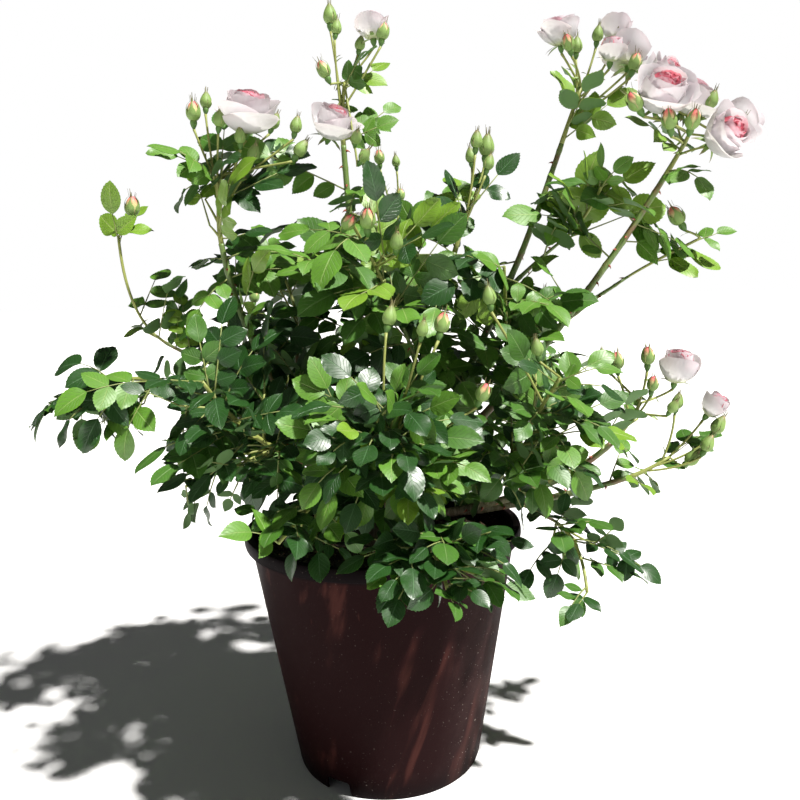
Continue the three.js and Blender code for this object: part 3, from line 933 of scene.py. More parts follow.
def first_turn(seed: int) -> float:
    """The first number, from 0 to 1, of the seeded generator that the solids use.

    Args:
        seed: The generator's seed.

    Returns:
        The number.
    """
    state = (seed + 0x6D2B79F5) & WORD
    mixed = ((state ^ (state >> 15)) * (state | 1)) & WORD
    mixed = ((mixed + (((mixed ^ (mixed >> 7)) * (mixed | 61)) & WORD)) & WORD) ^ mixed
    return (mixed ^ (mixed >> 14)) / 2**32


class Stage(Enum):
    """How far a flower has come."""

    CLOSED = "closed bud"
    COLOURED = "bud that shows its petals"
    HALF = "half-open bloom"
    OPEN = "open bloom"


@dataclass(frozen=True)
class Flower:
    """A bloom or bud: its stage, middle and width, and the way it faces."""

    stage: Stage
    x: float
    y: float
    z: float
    width: float = 11.0
    facing: Triple | None = None

    @property
    def at(self) -> Vec:
        """The flower's middle."""
        return vec(self.x, self.y, self.z)


# Short forms for the table of shoots

bud = functools.partial(Flower, Stage.CLOSED)
pink = functools.partial(Flower, Stage.COLOURED)
half = functools.partial(Flower, Stage.HALF)
bloom = functools.partial(Flower, Stage.OPEN)


@dataclass(eq=False)
class Shoot:
    """A limb and the mass of foliage that it carries, in the numbers of the solids."""

    name: str
    centre: Vec
    reach: Vec
    entry: Vec
    sprays: int
    ring: Ring | None = None
    foot: float = 0.0
    parent: str = ""
    at: float = 0.0
    spread: float = 0.5
    climb: float = 0.55
    flowers: tuple[Flower, ...] = ()
    leafiness: float = 1.0
    leaf_size: float = 1.0
    # How much painted shade deepens the green of the mass's leaves.
    shade: float = 0.0
    lowest: float = 6.0
    planes: list[tuple[Vec, Vec]] = field(default_factory=list)
    turn: float = 0.0
    curve: Bend | None = None
    foot_radius: float = CANE_FOOT

    def radius_at(self, share: float) -> float:
        """The limb's radius at a share of its length."""
        return self.foot_radius * (1 - (1 - TIP_SHARE) * share)

    @property
    def clustered(self) -> bool:
        """Whether the main stem ends in a cluster of flowers."""
        return len(self.flowers) > 3

    @property
    def top_share(self) -> float:
        """The share of the main stem at which it ends or goes over into flower stalks."""
        return 0.6 if self.clustered else 1.0

    def node(self) -> str:
        """The name of the limb's solid."""
        return f"{'bough' if self.parent else 'cane'}_{self.name}"

    def part_from(self, others: Iterable[Shoot]) -> None:
        """Sets the planes that part this mass from the others.

        Args:
            others: All the shoots.
        """
        for other in others:
            if other is self:
                continue
            distance = norm(other.centre - self.centre)
            outward = unit(other.centre - self.centre)
            own = norm(outward * self.reach)
            theirs = norm(outward * other.reach)
            self.planes.append((self.centre + outward * distance * own / (own + theirs), outward))

    def room_along(self, start: Vec, way: Vec, spill: float = -GAP) -> float:
        """How far a ray from inside the mass's space runs before it leaves.

        Args:
            start: Where the ray starts.
            way: Its direction.
            spill: How far past the parting planes it may go.

        Returns:
            The length.
        """
        begun = (start - self.centre) / self.reach
        stride = way / self.reach
        a, b, c = float(stride @ stride), float(begun @ stride), float(begun @ begun) - 1
        room = (-b + math.sqrt(max(0.0, b * b - a * c))) / a
        for point, outward in self.planes:
            approach = float(way @ outward)
            if approach > 1e-6:
                room = min(room, (float((point - start) @ outward) + spill) / approach)
        return max(0.0, room)

    def holds(self, points: Vec, slack: float, spill: float) -> bool:
        """Whether all the points are in the mass's space.

        Args:
            points: Places, one to a row.
            slack: The share of its reach by which they may stand out.
            spill: How far past the parting planes they may go.

        Returns:
            True if they are.
        """
        if np.linalg.norm((points - self.centre) / self.reach, axis=1).max() > 1 + slack:
            return False
        return all(((points - point) @ outward).max() < spill for point, outward in self.planes)

    def lay_out(self, limbs: dict[str, Shoot]) -> None:
        """Works out the limb's curve and radius.

        Args:
            limbs: The limbs laid out so far, by name.
        """
        inlet = unit(self.entry)
        entry = self.centre + inlet * ENTRY_DEPTH * self.room_along(self.centre, inlet)
        if self.parent:
            carrier = limbs[self.parent]
            start = carrier.curve.at(self.at)
            self.foot_radius = carrier.radius_at(self.at) * BOUGH_FOOT_SHARE
        else:
            turn = math.radians(self.foot)
            radius = self.ring.radius
            start = vec(radius * math.cos(turn), radius * math.sin(turn), SOIL_TOP + self.ring.height)
        bend = start + (entry - start) * (self.spread, self.spread, self.climb)
        self.curve = Bend(start, bend, entry)

    def stem(self) -> Bend:
        """The mass's main stem, from its limb's tip to beyond the middle of its space.

        Returns:
            Its curve.
        """
        heading = unit(self.curve.end - self.curve.bend)
        start = self.curve.end + heading * GAP
        inward = unit(self.centre - start)
        end = self.centre + inward * STEM_DEPTH * self.room_along(self.centre, inward)
        return Bend(start, start + heading * 0.4 * norm(end - start), end)

    def spray_way(self, stem: Bend, n: int) -> Vec:
        """The direction from the mass's centre in which a spray grows, by the rule of the solids.

        Args:
            stem: The mass's main stem.
            n: The spray's number.

        Returns:
            The direction.
        """
        if n == 0 and not self.flowers:
            return unit(stem.end - self.centre)
        height = 1 - 2 * ((n * EVEN_RISE + self.turn) % 1)
        turn = math.tau * ((n * EVEN_TURN + self.turn) % 1)
        ring = math.sqrt(1 - height * height)
        even = vec(ring * math.cos(turn), ring * math.sin(turn), height)
        return unit(even + unit(self.centre - CROWN_MIDDLE) * OUTWARD_LEAN)


SHOOTS = (
    Shoot("left_far", vec(-282, 0, 386), vec(78, 74, 72), vec(1, 0, 0.15), 7, SIDE_RING, 198, spread=0.45,
          climb=0.75, leafiness=0.34, leaf_size=1.15, shade=0.24),
    Shoot("centre_left", vec(-128, -116, 392), vec(96, 84, 88), vec(0.5, 0.5, -0.7), 9, SIDE_RING, 238,
          spread=0.4, climb=0.6, leafiness=0.54, leaf_size=0.95, shade=0.42),
    Shoot("centre_front", vec(8, -172, 366), vec(92, 70, 84), vec(0, 0.8, -0.5), 9, SIDE_RING, 278,
          spread=0.45, climb=0.6, leafiness=0.8, leaf_size=0.9, shade=0.1,
          flowers=(bud(15, -166, 461), pink(56, -160, 454, 12), pink(86, -176, 400),
                   bud(40, -176, 451, 9))),
    Shoot("right_mid", vec(244, -62, 380), vec(66, 58, 64), vec(-0.5, 0, -0.85), 4, SIDE_RING, 322,
          spread=0.72, climb=0.25, leafiness=0.4, leaf_size=1.05,
          flowers=(half(282, -50, 402, 34, (0.15, -0.2, 1)), pink(247, -70, 415, 12),
                   pink(223, -56, 410, 12), pink(250, -76, 390, 10), bud(213, -40, 414, 9),
                   bud(262, -96, 372, 9))),
    Shoot("right_low", vec(292, -18, 316), vec(66, 58, 60), vec(-0.85, 0, -0.5), 4, SIDE_RING, 4,
          spread=0.6, climb=0.2, leafiness=0.32, leaf_size=1.05,
          flowers=(half(328, -24, 360, 26, (0.5, -0.25, 0.8)), bud(293, -20, 365), bud(330, -30, 342, 13),
                   bud(316, -40, 326, 12), bud(306, -30, 310, 13))),
    Shoot("back_right", vec(164, 132, 388), vec(96, 92, 96), vec(-0.5, -0.5, -0.7), 9, SIDE_RING, 48,
          spread=0.4, climb=0.6, leafiness=0.45, shade=0.1,
          flowers=(bud(196, 160, 470), pink(176, 176, 476, 12))),
    Shoot("back_left", vec(-142, 132, 392), vec(98, 92, 96), vec(0.5, -0.5, -0.7), 9, SIDE_RING, 135,
          spread=0.4, climb=0.6, leafiness=0.4, shade=0.3,
          flowers=(pink(-150, 170, 478, 12), bud(-168, 158, 470, 9))),
    Shoot("back_low", vec(14, 184, 312), vec(96, 68, 72), vec(0, -0.85, -0.4), 8, SIDE_RING, 92,
          spread=0.5, climb=0.7, leafiness=0.55, shade=0.05),
    Shoot("top", vec(-20, 14, 690), vec(60, 54, 82), vec(-0.1, 0, -1), 4, TOP_RING, 96, spread=0.7,
          climb=0.5, leafiness=0.25, leaf_size=0.9,
          flowers=(half(4, 20, 733, 27, (-0.1, 0, 1)), bloom(-34, -16, 637, 40, (0.35, -0.45, 0.8)),
                   bud(-36, 24, 746, 13), bud(-29, 8, 729, 10), pink(-43, 4, 690, 12),
                   bud(-8, 36, 722, 10), pink(15, 14, 726, 12), bud(-12, -26, 622, 10),
                   bud(-5, -20, 606, 10))),
    Shoot("left_top", vec(-134, -15, 604), vec(84, 64, 90), vec(-0.15, 0, -1), 7, TOP_RING, 160,
          spread=0.88, climb=0.5, leafiness=0.66, leaf_size=1.1, shade=0.04,
          flowers=(bloom(-113, -20, 648, 50, (0.15, -0.3, 0.9)), pink(-163, -20, 650, 13),
                   bud(-156, 4, 665), bud(-136, -34, 640), bud(-92, 8, 645), bud(-69, -12, 637),
                   bud(-118, -36, 624, 10), bud(-107, -30, 610), bud(-64, -20, 614, 12),
                   bud(-119, 10, 603, 10))),
    Shoot("mid_shoot", vec(92, -30, 556), vec(58, 54, 66), vec(-0.35, 0, -0.95), 4, TOP_RING, 256,
          spread=0.5, climb=0.5, leafiness=0.75, leaf_size=1.15,
          flowers=(bud(109, -20, 612, 14), bud(98, -34, 615), bud(94, -16, 604, 10),
                   bud(109, -36, 594, 10))),
    Shoot("right_tall_2", vec(304, -28, 632), vec(66, 66, 92), vec(-0.45, 0.2, -0.9), 4, TOP_RING, 328,
          spread=0.6, climb=0.45, leafiness=0.15, leaf_size=1.1,
          flowers=(bloom(273, -24, 669, 38, (0.6, -0.65, 0.5)),
                   bloom(262, -54, 647, 46, (0.1, -0.75, 0.7)),
                   bloom(303, -14, 650, 44, (0.5, -0.4, 0.8)),
                   bloom(318, -56, 609, 46, (0.45, -0.85, 0.3)), bloom(350, -6, 623, 42, (0.6, 0.4, 0.6)),
                   pink(234, -62, 638, 13), pink(262, -70, 621, 13), pink(281, -76, 619, 13),
                   bud(315, -30, 645), bud(340, -34, 622))),
    Shoot("right_tall_1", vec(214, 36, 684), vec(70, 60, 82), vec(-0.35, 0, -0.95), 4, TOP_RING, 40,
          spread=0.62, climb=0.45, leafiness=0.2, leaf_size=1.1,
          flowers=(bloom(187, 26, 725, 36, (-0.1, -0.15, 1)), half(234, 12, 703, 24, (0.05, -0.35, 0.9)),
                   half(249, 56, 736, 30, (0.1, 0, 1)), bloom(258, 32, 702, 40, (0.3, 0.4, 0.85)),
                   pink(190, 4, 708), bud(205, 34, 714), bud(230, 50, 729), pink(256, 10, 690, 12))),
    Shoot("left_low", vec(-176, -24, 300), vec(68, 64, 64), vec(0.8, 0, 0.35), 6, parent="left_far",
          at=0.42, leafiness=0.32, leaf_size=0.82, shade=0.44, lowest=246.0),
    Shoot("left_shoot", vec(-238, 6, 504), vec(72, 62, 86), vec(0.35, 0, -1), 5, parent="left_top",
          at=0.5, spread=0.7, climb=0.45, leafiness=0.46, leaf_size=1.15, shade=0.02,
          flowers=(pink(-236, 10, 569, 14),)),
    Shoot("front_left_low", vec(-76, -166, 284), vec(74, 60, 60), vec(0.4, 0.8, 0.3), 6,
          parent="centre_left", at=0.45, leafiness=0.62, leaf_size=0.92, shade=0.12, lowest=240.0),
    Shoot("front_low", vec(48, -192, 262), vec(88, 54, 56), vec(-0.2, 0.9, 0.35), 7,
          parent="centre_front", at=0.42, leafiness=1.05, leaf_size=0.88, shade=0.2, lowest=240.0),
    Shoot("centre_right", vec(140, -124, 378), vec(86, 78, 88), vec(-0.3, 0.6, -0.75), 9,
          parent="right_mid", at=0.35, leafiness=0.56, leaf_size=0.94, shade=0.08,
          flowers=(bud(132, -150, 432, 10), bud(96, -134, 474))),
    Shoot("right_droop", vec(180, -76, 216), vec(82, 60, 88), vec(-0.2, 0.75, 0.6), 6, parent="right_low",
          at=0.52, leafiness=0.34, leaf_size=0.85, shade=0.3, lowest=186.0),
    Shoot("upper_front", vec(-6, -78, 516), vec(94, 82, 84), vec(0.35, 0.5, -0.75), 8, parent="mid_shoot",
          at=0.55, leafiness=0.4, leaf_size=1.05,
          flowers=(pink(-18, -96, 539, 12), pink(-2, -100, 541, 13), bud(22, -104, 522))),
    Shoot("upper_left", vec(-104, 66, 496), vec(92, 80, 84), vec(0.3, -0.5, -0.8), 7, parent="left_top",
          at=0.36, leafiness=0.3, leaf_size=1.05, shade=0.26),
    Shoot("back_top", vec(28, 112, 544), vec(98, 86, 90), vec(-0.3, -0.6, -0.7), 8, parent="top", at=0.48,
          leafiness=0.28, leaf_size=1.05,
          flowers=(bloom(60, 170, 560, 40, (0.2, 0.6, 0.8)), bloom(-14, 168, 556, 36, (-0.3, 0.6, 0.8)),
                   pink(28, 160, 590), bud(-11, 108, 625, 12), pink(6, 104, 624), bud(24, 108, 620, 9))),
    Shoot("upper_right", vec(118, -66, 492), vec(76, 66, 78), vec(0.1, 0.6, -0.7), 7,
          parent="right_tall_2", at=0.4, leafiness=0.38, leaf_size=1.05),
    Shoot("right_leaves", vec(206, -12, 556), vec(84, 62, 52), vec(-0.35, 0.6, -0.6), 7,
          parent="right_tall_1", at=0.62, leafiness=0.36, leaf_size=1.4),
    Shoot("right_side", vec(302, 22, 510), vec(62, 58, 64), vec(-0.8, 0, -0.4), 4, parent="right_tall_2",
          at=0.6, leafiness=0.28, leaf_size=1.3, shade=0.1,
          flowers=(pink(302, 22, 546, 15),)),
)


# Leaves


class Tint(Enum):
    """The green of a leaf, dealt out by spray, lighter by painted light and deeper by painted shade, and
    partly by chance.
    """

    FRESH_LIT = "fresh_lit"
    BRIGHT = "bright"
    MID = "mid"
    DEEP = "deep"


# Painted light and shade: the score of a spray, higher where light falls and lower in shade, picks its
# green.
TINT_LIMITS = ((0.52, Tint.FRESH_LIT), (0.26, Tint.BRIGHT), (0.06, Tint.MID))

# Middles and radii of places that stay open, at the rim's left and between the shoots

CLEARINGS = (
    (-132, -104, 262, 40), (-122, -172, 262, 50), (150, -40, 560, 30), (250, -20, 440, 42),
    (-30, -20, 600, 34), (-196, -20, 560, 30), (-200, -10, 470, 24),
)

# Openings right through the crown: places across and up, at the depth of the pot's middle, and radii

OPENINGS = (
    (116, 537, 29), (275, 480, 29), (-278, 502, 29), (275, 327, 25), (-224, 267, 25), (-184, 636, 18),
    (-246, 498, 22), (-163, 551, 19), (178, 595, 19), (184, 622, 19), (145, 502, 17), (283, 558, 17),
    (148, 519, 17), (80, 600, 17), (-229, 373, 15), (-225, 430, 15), (311, 345, 15), (52, 519, 13),
    (230, 542, 13), (175, 515, 13), (214, 387, 14), (280, 352, 13), (-150, 287, 12), (169, 486, 12),
    (193, 333, 12), (-174, 291, 12), (-114, 483, 12), (262, 575, 12), (227, 279, 12), (230, 522, 12),
)

# Lit and shaded copies of one leaf finish, painted light and shade, from the lightest green to the deepest.
LEAF_FINISHES = {
    Tint.FRESH_LIT: LeafBlade("leaf_fresh_lit", (0.17, 0.32, 0.02), (0.34, 0.45, 0.11), (0.34, 0.54, 0.02)),
    Tint.BRIGHT: LeafBlade("leaf_bright", (0.1, 0.245, 0.02), (0.24, 0.37, 0.09), (0.2, 0.43, 0.02)),
    Tint.MID: LeafBlade("leaf_mid", (0.052, 0.155, 0.012), (0.16, 0.28, 0.08), (0.1, 0.3, 0.02)),
    Tint.DEEP: LeafBlade("leaf_deep", (0.017, 0.068, 0.01), (0.08, 0.18, 0.07), (0.04, 0.16, 0.02), 0.3),
}
MIDDLE_SHARE = 0.45
PRICKLE = Soft("prickle", (0.24, 0.2, 0.08), (0.3, 0.07, 0.04), 0.4)
GREEN_STEM = Soft("stem_green", (0.2, 0.31, 0.07), (0.25, 0.28, 0.07), 0.45)
LEAF_STALK = Soft("leaf_stalk", (0.17, 0.28, 0.06), (0.2, 0.24, 0.07), 0.5)
LEAF_UNDER = Soft("leaf_under", (0.115, 0.22, 0.07), (0.095, 0.19, 0.06), 0.6, (0.2, 0.42, 0.04), 0.2)


@dataclass
class Leaflet:
    """The outline and relief of a leaflet, one long, in a few chance shapes."""

    width: float = 0.68
    root_power: float = 0.62
    tip_powers: tuple[float, float] = (0.64, 0.98)
    rows: tuple[float, ...] = (0.05, 0.13, 0.23, 0.34, 0.45, 0.56, 0.67, 0.77, 0.87, 0.95)
    columns: tuple[float, ...] = (-1.0, -0.5, 0.0, 0.5, 1.0)
    tooth: float = 0.02
    thickness: float = 0.012
    shapes: int = 10

    def half_width(self, along: Vec, tip_power: float) -> Vec:
        """The leaflet's half width.

        Args:
            along: Shares of the length.
            tip_power: How pointed the tip is, blunter the lower it is.

        Returns:
            The half width at each.
        """
        widest = self.root_power / (self.root_power + tip_power)
        most = widest**self.root_power * (1 - widest) ** tip_power
        return 0.5 * self.width * along**self.root_power * (1 - along) ** tip_power / most

    def sheet(self, columns: Sequence[float], rng: Generator, drop: float) -> Shape:
        """One side of the leaflet as a sheet: along Y, across X, and facing Z.

        Args:
            columns: The shares of the half width at which its points stand.
            rng: Deals out its folds.
            drop: How far the sheet lies below the leaflet's face.

        Returns:
            The sheet.
        """
        along = np.array(self.rows)
        share = np.array(columns)
        half_width = self.half_width(along, rng.uniform(*self.tip_powers)) * (1 + rng.uniform(-0.12, 0.1))
        sway = rng.uniform(-0.06, 0.06)
        x = np.outer(half_width, share) + sway * along[:, None] ** 2
        y = along[:, None] + 0.05 * np.abs(share) * (0.5 - along[:, None])
        fold = math.tan(math.radians(rng.uniform(4, 24)))
        curl = rng.uniform(0.02, 0.24)
        wave = rng.uniform(-0.05, 0.05) * np.sin(along * rng.uniform(4, 9) + rng.uniform(0, 6))[:, None]
        quilt = 0.014 * np.where(np.arange(len(along)) % 2, 1, -1)[:, None] * (np.abs(share) == 0.5)
        spread = np.outer(half_width, np.abs(share))
        z = fold * spread - curl * y**2.4 + wave * share + quilt - 0.7 * spread**2 - drop
        grid = table(x, y, z)
        root = [[0, 0, -drop]]
        tip = [[sway, 1, -curl - drop]]
        points = np.concatenate([grid, root, tip])
        count = len(share)
        faces = [grid_faces(len(along), count, False)]
        first, last = len(grid), len(grid) + 1
        steps = np.arange(count - 1)
        faces.append(np.stack([np.full(count - 1, first), steps + 1, steps], -1))
        top = (len(along) - 1) * count + steps
        faces.append(np.stack([np.full(count - 1, last), top, top + 1], -1))
        places = np.concatenate([table(share, along[:, None]), [[0, 0], [0, 1]]])
        return Shape(points, np.concatenate(faces), places)

    def toothed(self, sheet: Shape) -> Shape:
        """Sets a forward tooth on each stretch of a sheet's edge.

        Args:
            sheet: One side of the leaflet.

        Returns:
            The toothed sheet.
        """
        columns = len(self.columns)
        points = [sheet.points]
        faces = [sheet.faces]
        places = [sheet.places]
        count = len(sheet.points)
        for row in range(len(self.rows) - 1):
            for column, sign in ((0, -1), (columns - 1, 1)):
                low, high = row * columns + column, (row + 1) * columns + column
                forward = vec(sign * self.tooth, self.tooth * 0.6, 0)
                apex = sheet.points[low] * 0.2 + sheet.points[high] * 0.8 + forward
                points.append(apex[None])
                places.append(sheet.places[[high]])
                order = (low, count, high) if sign > 0 else (low, high, count)
                faces.append(np.array([order]))
                count += 1
        return Shape(np.concatenate(points), np.concatenate(faces), np.concatenate(places))

    def pairs(self) -> list[tuple[Shape, Shape]]:
        """Makes the leaflet in all its chance shapes.

        Returns:
            Each chance shape's upper and under sheet.
        """
        made = []
        for n in range(self.shapes):
            upper = self.sheet(self.columns, np.random.default_rng(500 + n), 0.0)
            under = self.sheet((-1.0, 0.0, 1.0), np.random.default_rng(500 + n), self.thickness)
            under.faces = under.faces[:, ::-1]
            made.append((self.toothed(upper), under))
        return made


# Blooms and buds


class Hue(Enum):
    """The colour of a petal."""

    WHITE = "white"
    BLUSH = "blush"
    ROSY = "rosy"
    CORAL = "coral"
    CREAM = "cream"


PETAL_FINISHES = {
    Hue.WHITE: PetalSkin(
        "petal_white", (0.56, 0.62, 0.34), (0.725, 0.71, 0.74), (0.76, 0.49, 0.57),
        flushed=0.3, through=(0.77, 0.74, 0.72), passed=0.34,
    ),
    Hue.BLUSH: PetalSkin(
        "petal_blush", (0.66, 0.6, 0.5), (0.75, 0.56, 0.62), (0.76, 0.33, 0.42),
        flushed=0.6, through=(0.82, 0.52, 0.54),
    ),
    Hue.ROSY: PetalSkin(
        "petal_rosy", (0.66, 0.44, 0.42), (0.76, 0.3, 0.38), (0.76, 0.13, 0.21),
        flushed=0.75, through=(0.8, 0.28, 0.32),
    ),
    Hue.CORAL: Soft("petal_coral", (0.6, 0.6, 0.26), (0.78, 0.14, 0.15), 0.5, (0.8, 0.2, 0.1), 0.1, 0.5),
    Hue.CREAM: Soft("petal_cream", (0.55, 0.6, 0.24), (0.66, 0.42, 0.25), 0.5, (0.7, 0.6, 0.3), 0.1, 0.4),
}
CALYX = Soft("calyx", (0.06, 0.15, 0.025), (0.1, 0.2, 0.035), 0.5)
SEPAL = Soft("sepal", (0.19, 0.3, 0.075), (0.16, 0.14, 0.06), 0.5, low=0.4, high=0.95)


@dataclass
class Petals:
    """The rule by which a bloom's petals stand round its middle, each further out and wider open.

    A petal's two angles are its lean from the bloom's axis at its foot and at its edge, in degrees. The
    outermost are guard petals, which stand away from the globe that the others make. The hues are those of
    the inner petals, each with the share of the way out that it reaches.
    """

    count: int
    guards: int
    innermost: tuple[float, float]
    outermost: tuple[float, float]
    shortest: float
    width: float
    height: float
    globe: float
    roll: float
    guard_lean: float
    hues: tuple[tuple[float, Hue], ...]
    sepal_leans: Triple
    ruffle: float = 0.024
    rows: int = 10
    columns: int = 9

    def petal(self, n: int, rng: Generator) -> Shape:
        """The nth petal, its foot at the origin and the bloom's axis along Z.

        Args:
            n: Its number, from the middle out.
            rng: Deals out its ruffles.

        Returns:
            The petal, for a bloom whose outer petals are one long.
        """
        share = n / (self.count - 1)
        spin = n * GOLDEN_TURN + rng.normal() * 0.14
        length = self.shortest + (1 - self.shortest) * share
        near, far = (a + (b - a) * share + rng.normal() * 4 for a, b in zip(self.innermost, self.outermost))
        if n >= self.count - self.guards:
            far += self.guard_lean * rng.uniform(0.2, 1.2)
            near += 3
        along = np.linspace(0, 1, self.rows)
        across = np.linspace(-1, 1, self.columns)
        rolled = self.roll * share**2 * np.maximum(along - 0.76, 0) / 0.24
        lean = np.radians(near + (far - near) * along**0.8 + rolled * rng.uniform(0.3, 1.2))
        step = 1 / (self.rows - 1)
        between = (lean[1:] + lean[:-1]) / 2
        out = summed(np.sin(between)) * step
        rise = summed(np.cos(between)) * step
        foot = 0.03 + 0.07 * share
        opened = np.sin(np.minimum(along * 1.3, 1) * math.pi / 2)
        half_width = self.width * (0.55 + 0.45 * share) * (0.24 + 0.76 * opened)
        notch = 0.07 * np.exp(-((across / 0.22) ** 2)) * rng.uniform(-0.3, 1.0)
        shorten = 1 - (0.36 * np.abs(across) ** 2.6 + notch)[None, :] * along[:, None] ** 2
        radial = foot + out[:, None] * shorten
        height = rise[:, None] * shorten
        cup = np.maximum(np.abs(out) + foot, 0.3 * self.width + 0.08)[:, None]
        angle = np.outer(half_width, across) / cup
        waves = np.sin(across * rng.uniform(2, 6) + rng.uniform(0, 6))[None, :] * (along**2)[:, None]
        radial = radial - cup + cup * np.cos(angle) + self.ruffle * (0.4 + share) * waves
        side = cup * np.sin(angle)
        x = radial * math.cos(spin) - side * math.sin(spin)
        y = radial * math.sin(spin) + side * math.cos(spin)
        faces = grid_faces(self.rows, self.columns, False)[:, ::-1]
        return Shape(table(x, y, height) * length, faces, table(across, along[:, None]))

    def all(self, rng: Generator) -> list[tuple[float, Shape]]:
        """Makes every petal, scaled so that the globe is `globe` wide and `height` high.

        Args:
            rng: Deals out their ruffles.

        Returns:
            Each petal with its share of the way out.
        """
        made = [(n / (self.count - 1), self.petal(n, rng)) for n in range(self.count)]
        inner = [shape.points for _, shape in made[: -self.guards]]
        widest = max(np.linalg.norm(points[:, :2], axis=1).max() for points in inner)
        highest = max(points[:, 2].max() for points in inner)
        for _, shape in made:
            shape.points *= (self.globe / widest, self.globe / widest, self.height / highest)
        return made

    def hue(self, share: float, rng: Generator) -> Hue:
        """The colour of a petal at a share of the way out, deeper towards the bloom's middle."""
        score = share + rng.normal() * 0.08
        return next((hue for limit, hue in self.hues if score < limit), Hue.WHITE)


PETALS = {
    Stage.OPEN: Petals(
        count=30, guards=4, innermost=(8, -36), outermost=(84, -14), shortest=0.86, width=0.66, height=1.5,
        globe=0.92, roll=50.0, guard_lean=30.0, hues=((0.36, Hue.ROSY), (0.6, Hue.BLUSH)),
        sepal_leans=(80, 105, 130),
    ),
    Stage.HALF: Petals(
        count=15, guards=2, innermost=(10, -34), outermost=(72, -14), shortest=0.94, width=0.74,
        height=1.85, globe=0.95, roll=30.0, guard_lean=16.0, hues=((0.2, Hue.ROSY), (0.45, Hue.BLUSH)),
        sepal_leans=(60, 75, 100), ruffle=0.008,
    ),
}


@dataclass
class BudShape:
    """A bud: rolled petals inside five sepals that end in long points.

    The sepals cover the petals up to `cover` of the bud's height and stand proud of its top by `points`.
    """

    height: float
    cover: float
    points: float
    flare: float
    outline: Profile
    rows: int = 15
    sides: int = 15

    def radius(self, share: Vec) -> Vec:
        """The bud's radius beside its widest.

        Args:
            share: Shares of its height.

        Returns:
            The radius at each.
        """
        known = np.array(self.outline)
        fine = np.linspace(0, 1, 41)
        rough = np.interp(fine, known[:, 0], known[:, 1])
        smooth = np.convolve(np.pad(rough, 3, "edge"), np.full(7, 1 / 7), "valid")
        return np.interp(np.clip(share, 0, 1), fine, smooth)

    def core(self, rng: Generator) -> Shape:
        """The rolled petals, with a spiral ridge where each edge lies over the next.

        Args:
            rng: Deals out their turn.

        Returns:
            The petals, for a bud of radius one.
        """
        share = np.linspace(0, 1, self.rows)
        turns = np.linspace(0, math.tau, self.sides, endpoint=False)
        phase = (3 * turns[None, :] / math.tau + share[:, None] * 1.1 + rng.random()) % 1
        radius = (self.radius(share) * 0.93 + 0.02)[:, None] * (1 - 0.1 * phase * share[:, None])
        points = table(radius * np.cos(turns), radius * np.sin(turns), (share * self.height)[:, None])
        return Shape(points, grid_faces(self.rows, self.sides, True), table(phase, share[:, None]))

    def sepals(self, rng: Generator) -> list[Shape]:
        """The five sepals, which follow the bud's side and then run out into leafy points.

        Args:
            rng: Deals out their points.

        Returns:
            The sepals, for a bud of radius one.
        """
        made = []
        on_bud = np.linspace(0, 1, 11)
        beyond = np.linspace(0, 1, 6)[1:]
        columns = np.array((-1.0, -0.5, 0.0, 0.5, 1.0))
        for n in range(5):
            reach = self.points * rng.uniform(0.55, 1.25)
            flare = self.flare * rng.uniform(0.4, 1.3)
            lift = np.concatenate([on_bud, 1 + beyond * reach])
            lifted = np.maximum(lift - self.cover, 0)
            radius = np.concatenate([self.radius(on_bud), np.full(5, self.radius(np.ones(1))[0])])
            radius = np.maximum(radius * 1.02 + 0.02, 0.1) + flare * lifted**1.4
            wide = 0.62 * np.sin(math.pi * np.clip(0.2 + lift / (2 * self.cover + 0.5), 0, 1)) ** 0.6
            strip = 0.21 * np.clip(1 - (lift - 0.6) / (0.45 + reach), 0.2, 1)
            half_width = np.maximum(np.where(lift < self.cover * 1.3, wide, 0), strip)
            half_width = np.convolve(np.pad(half_width, 1, "edge"), (0.25, 0.5, 0.25), "valid")
            turn = n * math.tau / 5 + rng.normal() * 0.06
            swirl = rng.normal() * 0.2 * lifted
            beside = np.outer(half_width, columns) / np.maximum(radius, 0.22)[:, None]
            angle = turn + swirl[:, None] + beside
            layer = 0.03 * (n % 2) + 0.03 * (1 - np.abs(columns))[None, :]
            out = radius[:, None] + layer
            points = table(out * np.cos(angle), out * np.sin(angle), (lift * self.height)[:, None])
            places = table(columns, (lift / (1 + reach))[:, None])
            made.append(Shape(points, grid_faces(len(lift), 5, False), places))
        return made


CLOSED_OUTLINE = ((0, 0.45), (0.1, 0.8), (0.3, 1), (0.55, 0.88), (0.78, 0.58), (0.92, 0.32), (1, 0.1))
COLOURED_OUTLINE = ((0, 0.45), (0.12, 0.84), (0.35, 1), (0.62, 0.93), (0.82, 0.72), (0.94, 0.42), (1, 0.1))
BUDS = {
    Stage.CLOSED: BudShape(2.75, 0.62, 0.34, 0.3, CLOSED_OUTLINE),
    Stage.COLOURED: BudShape(2.6, 0.42, 0.34, 0.5, COLOURED_OUTLINE),
}


# The whole plant


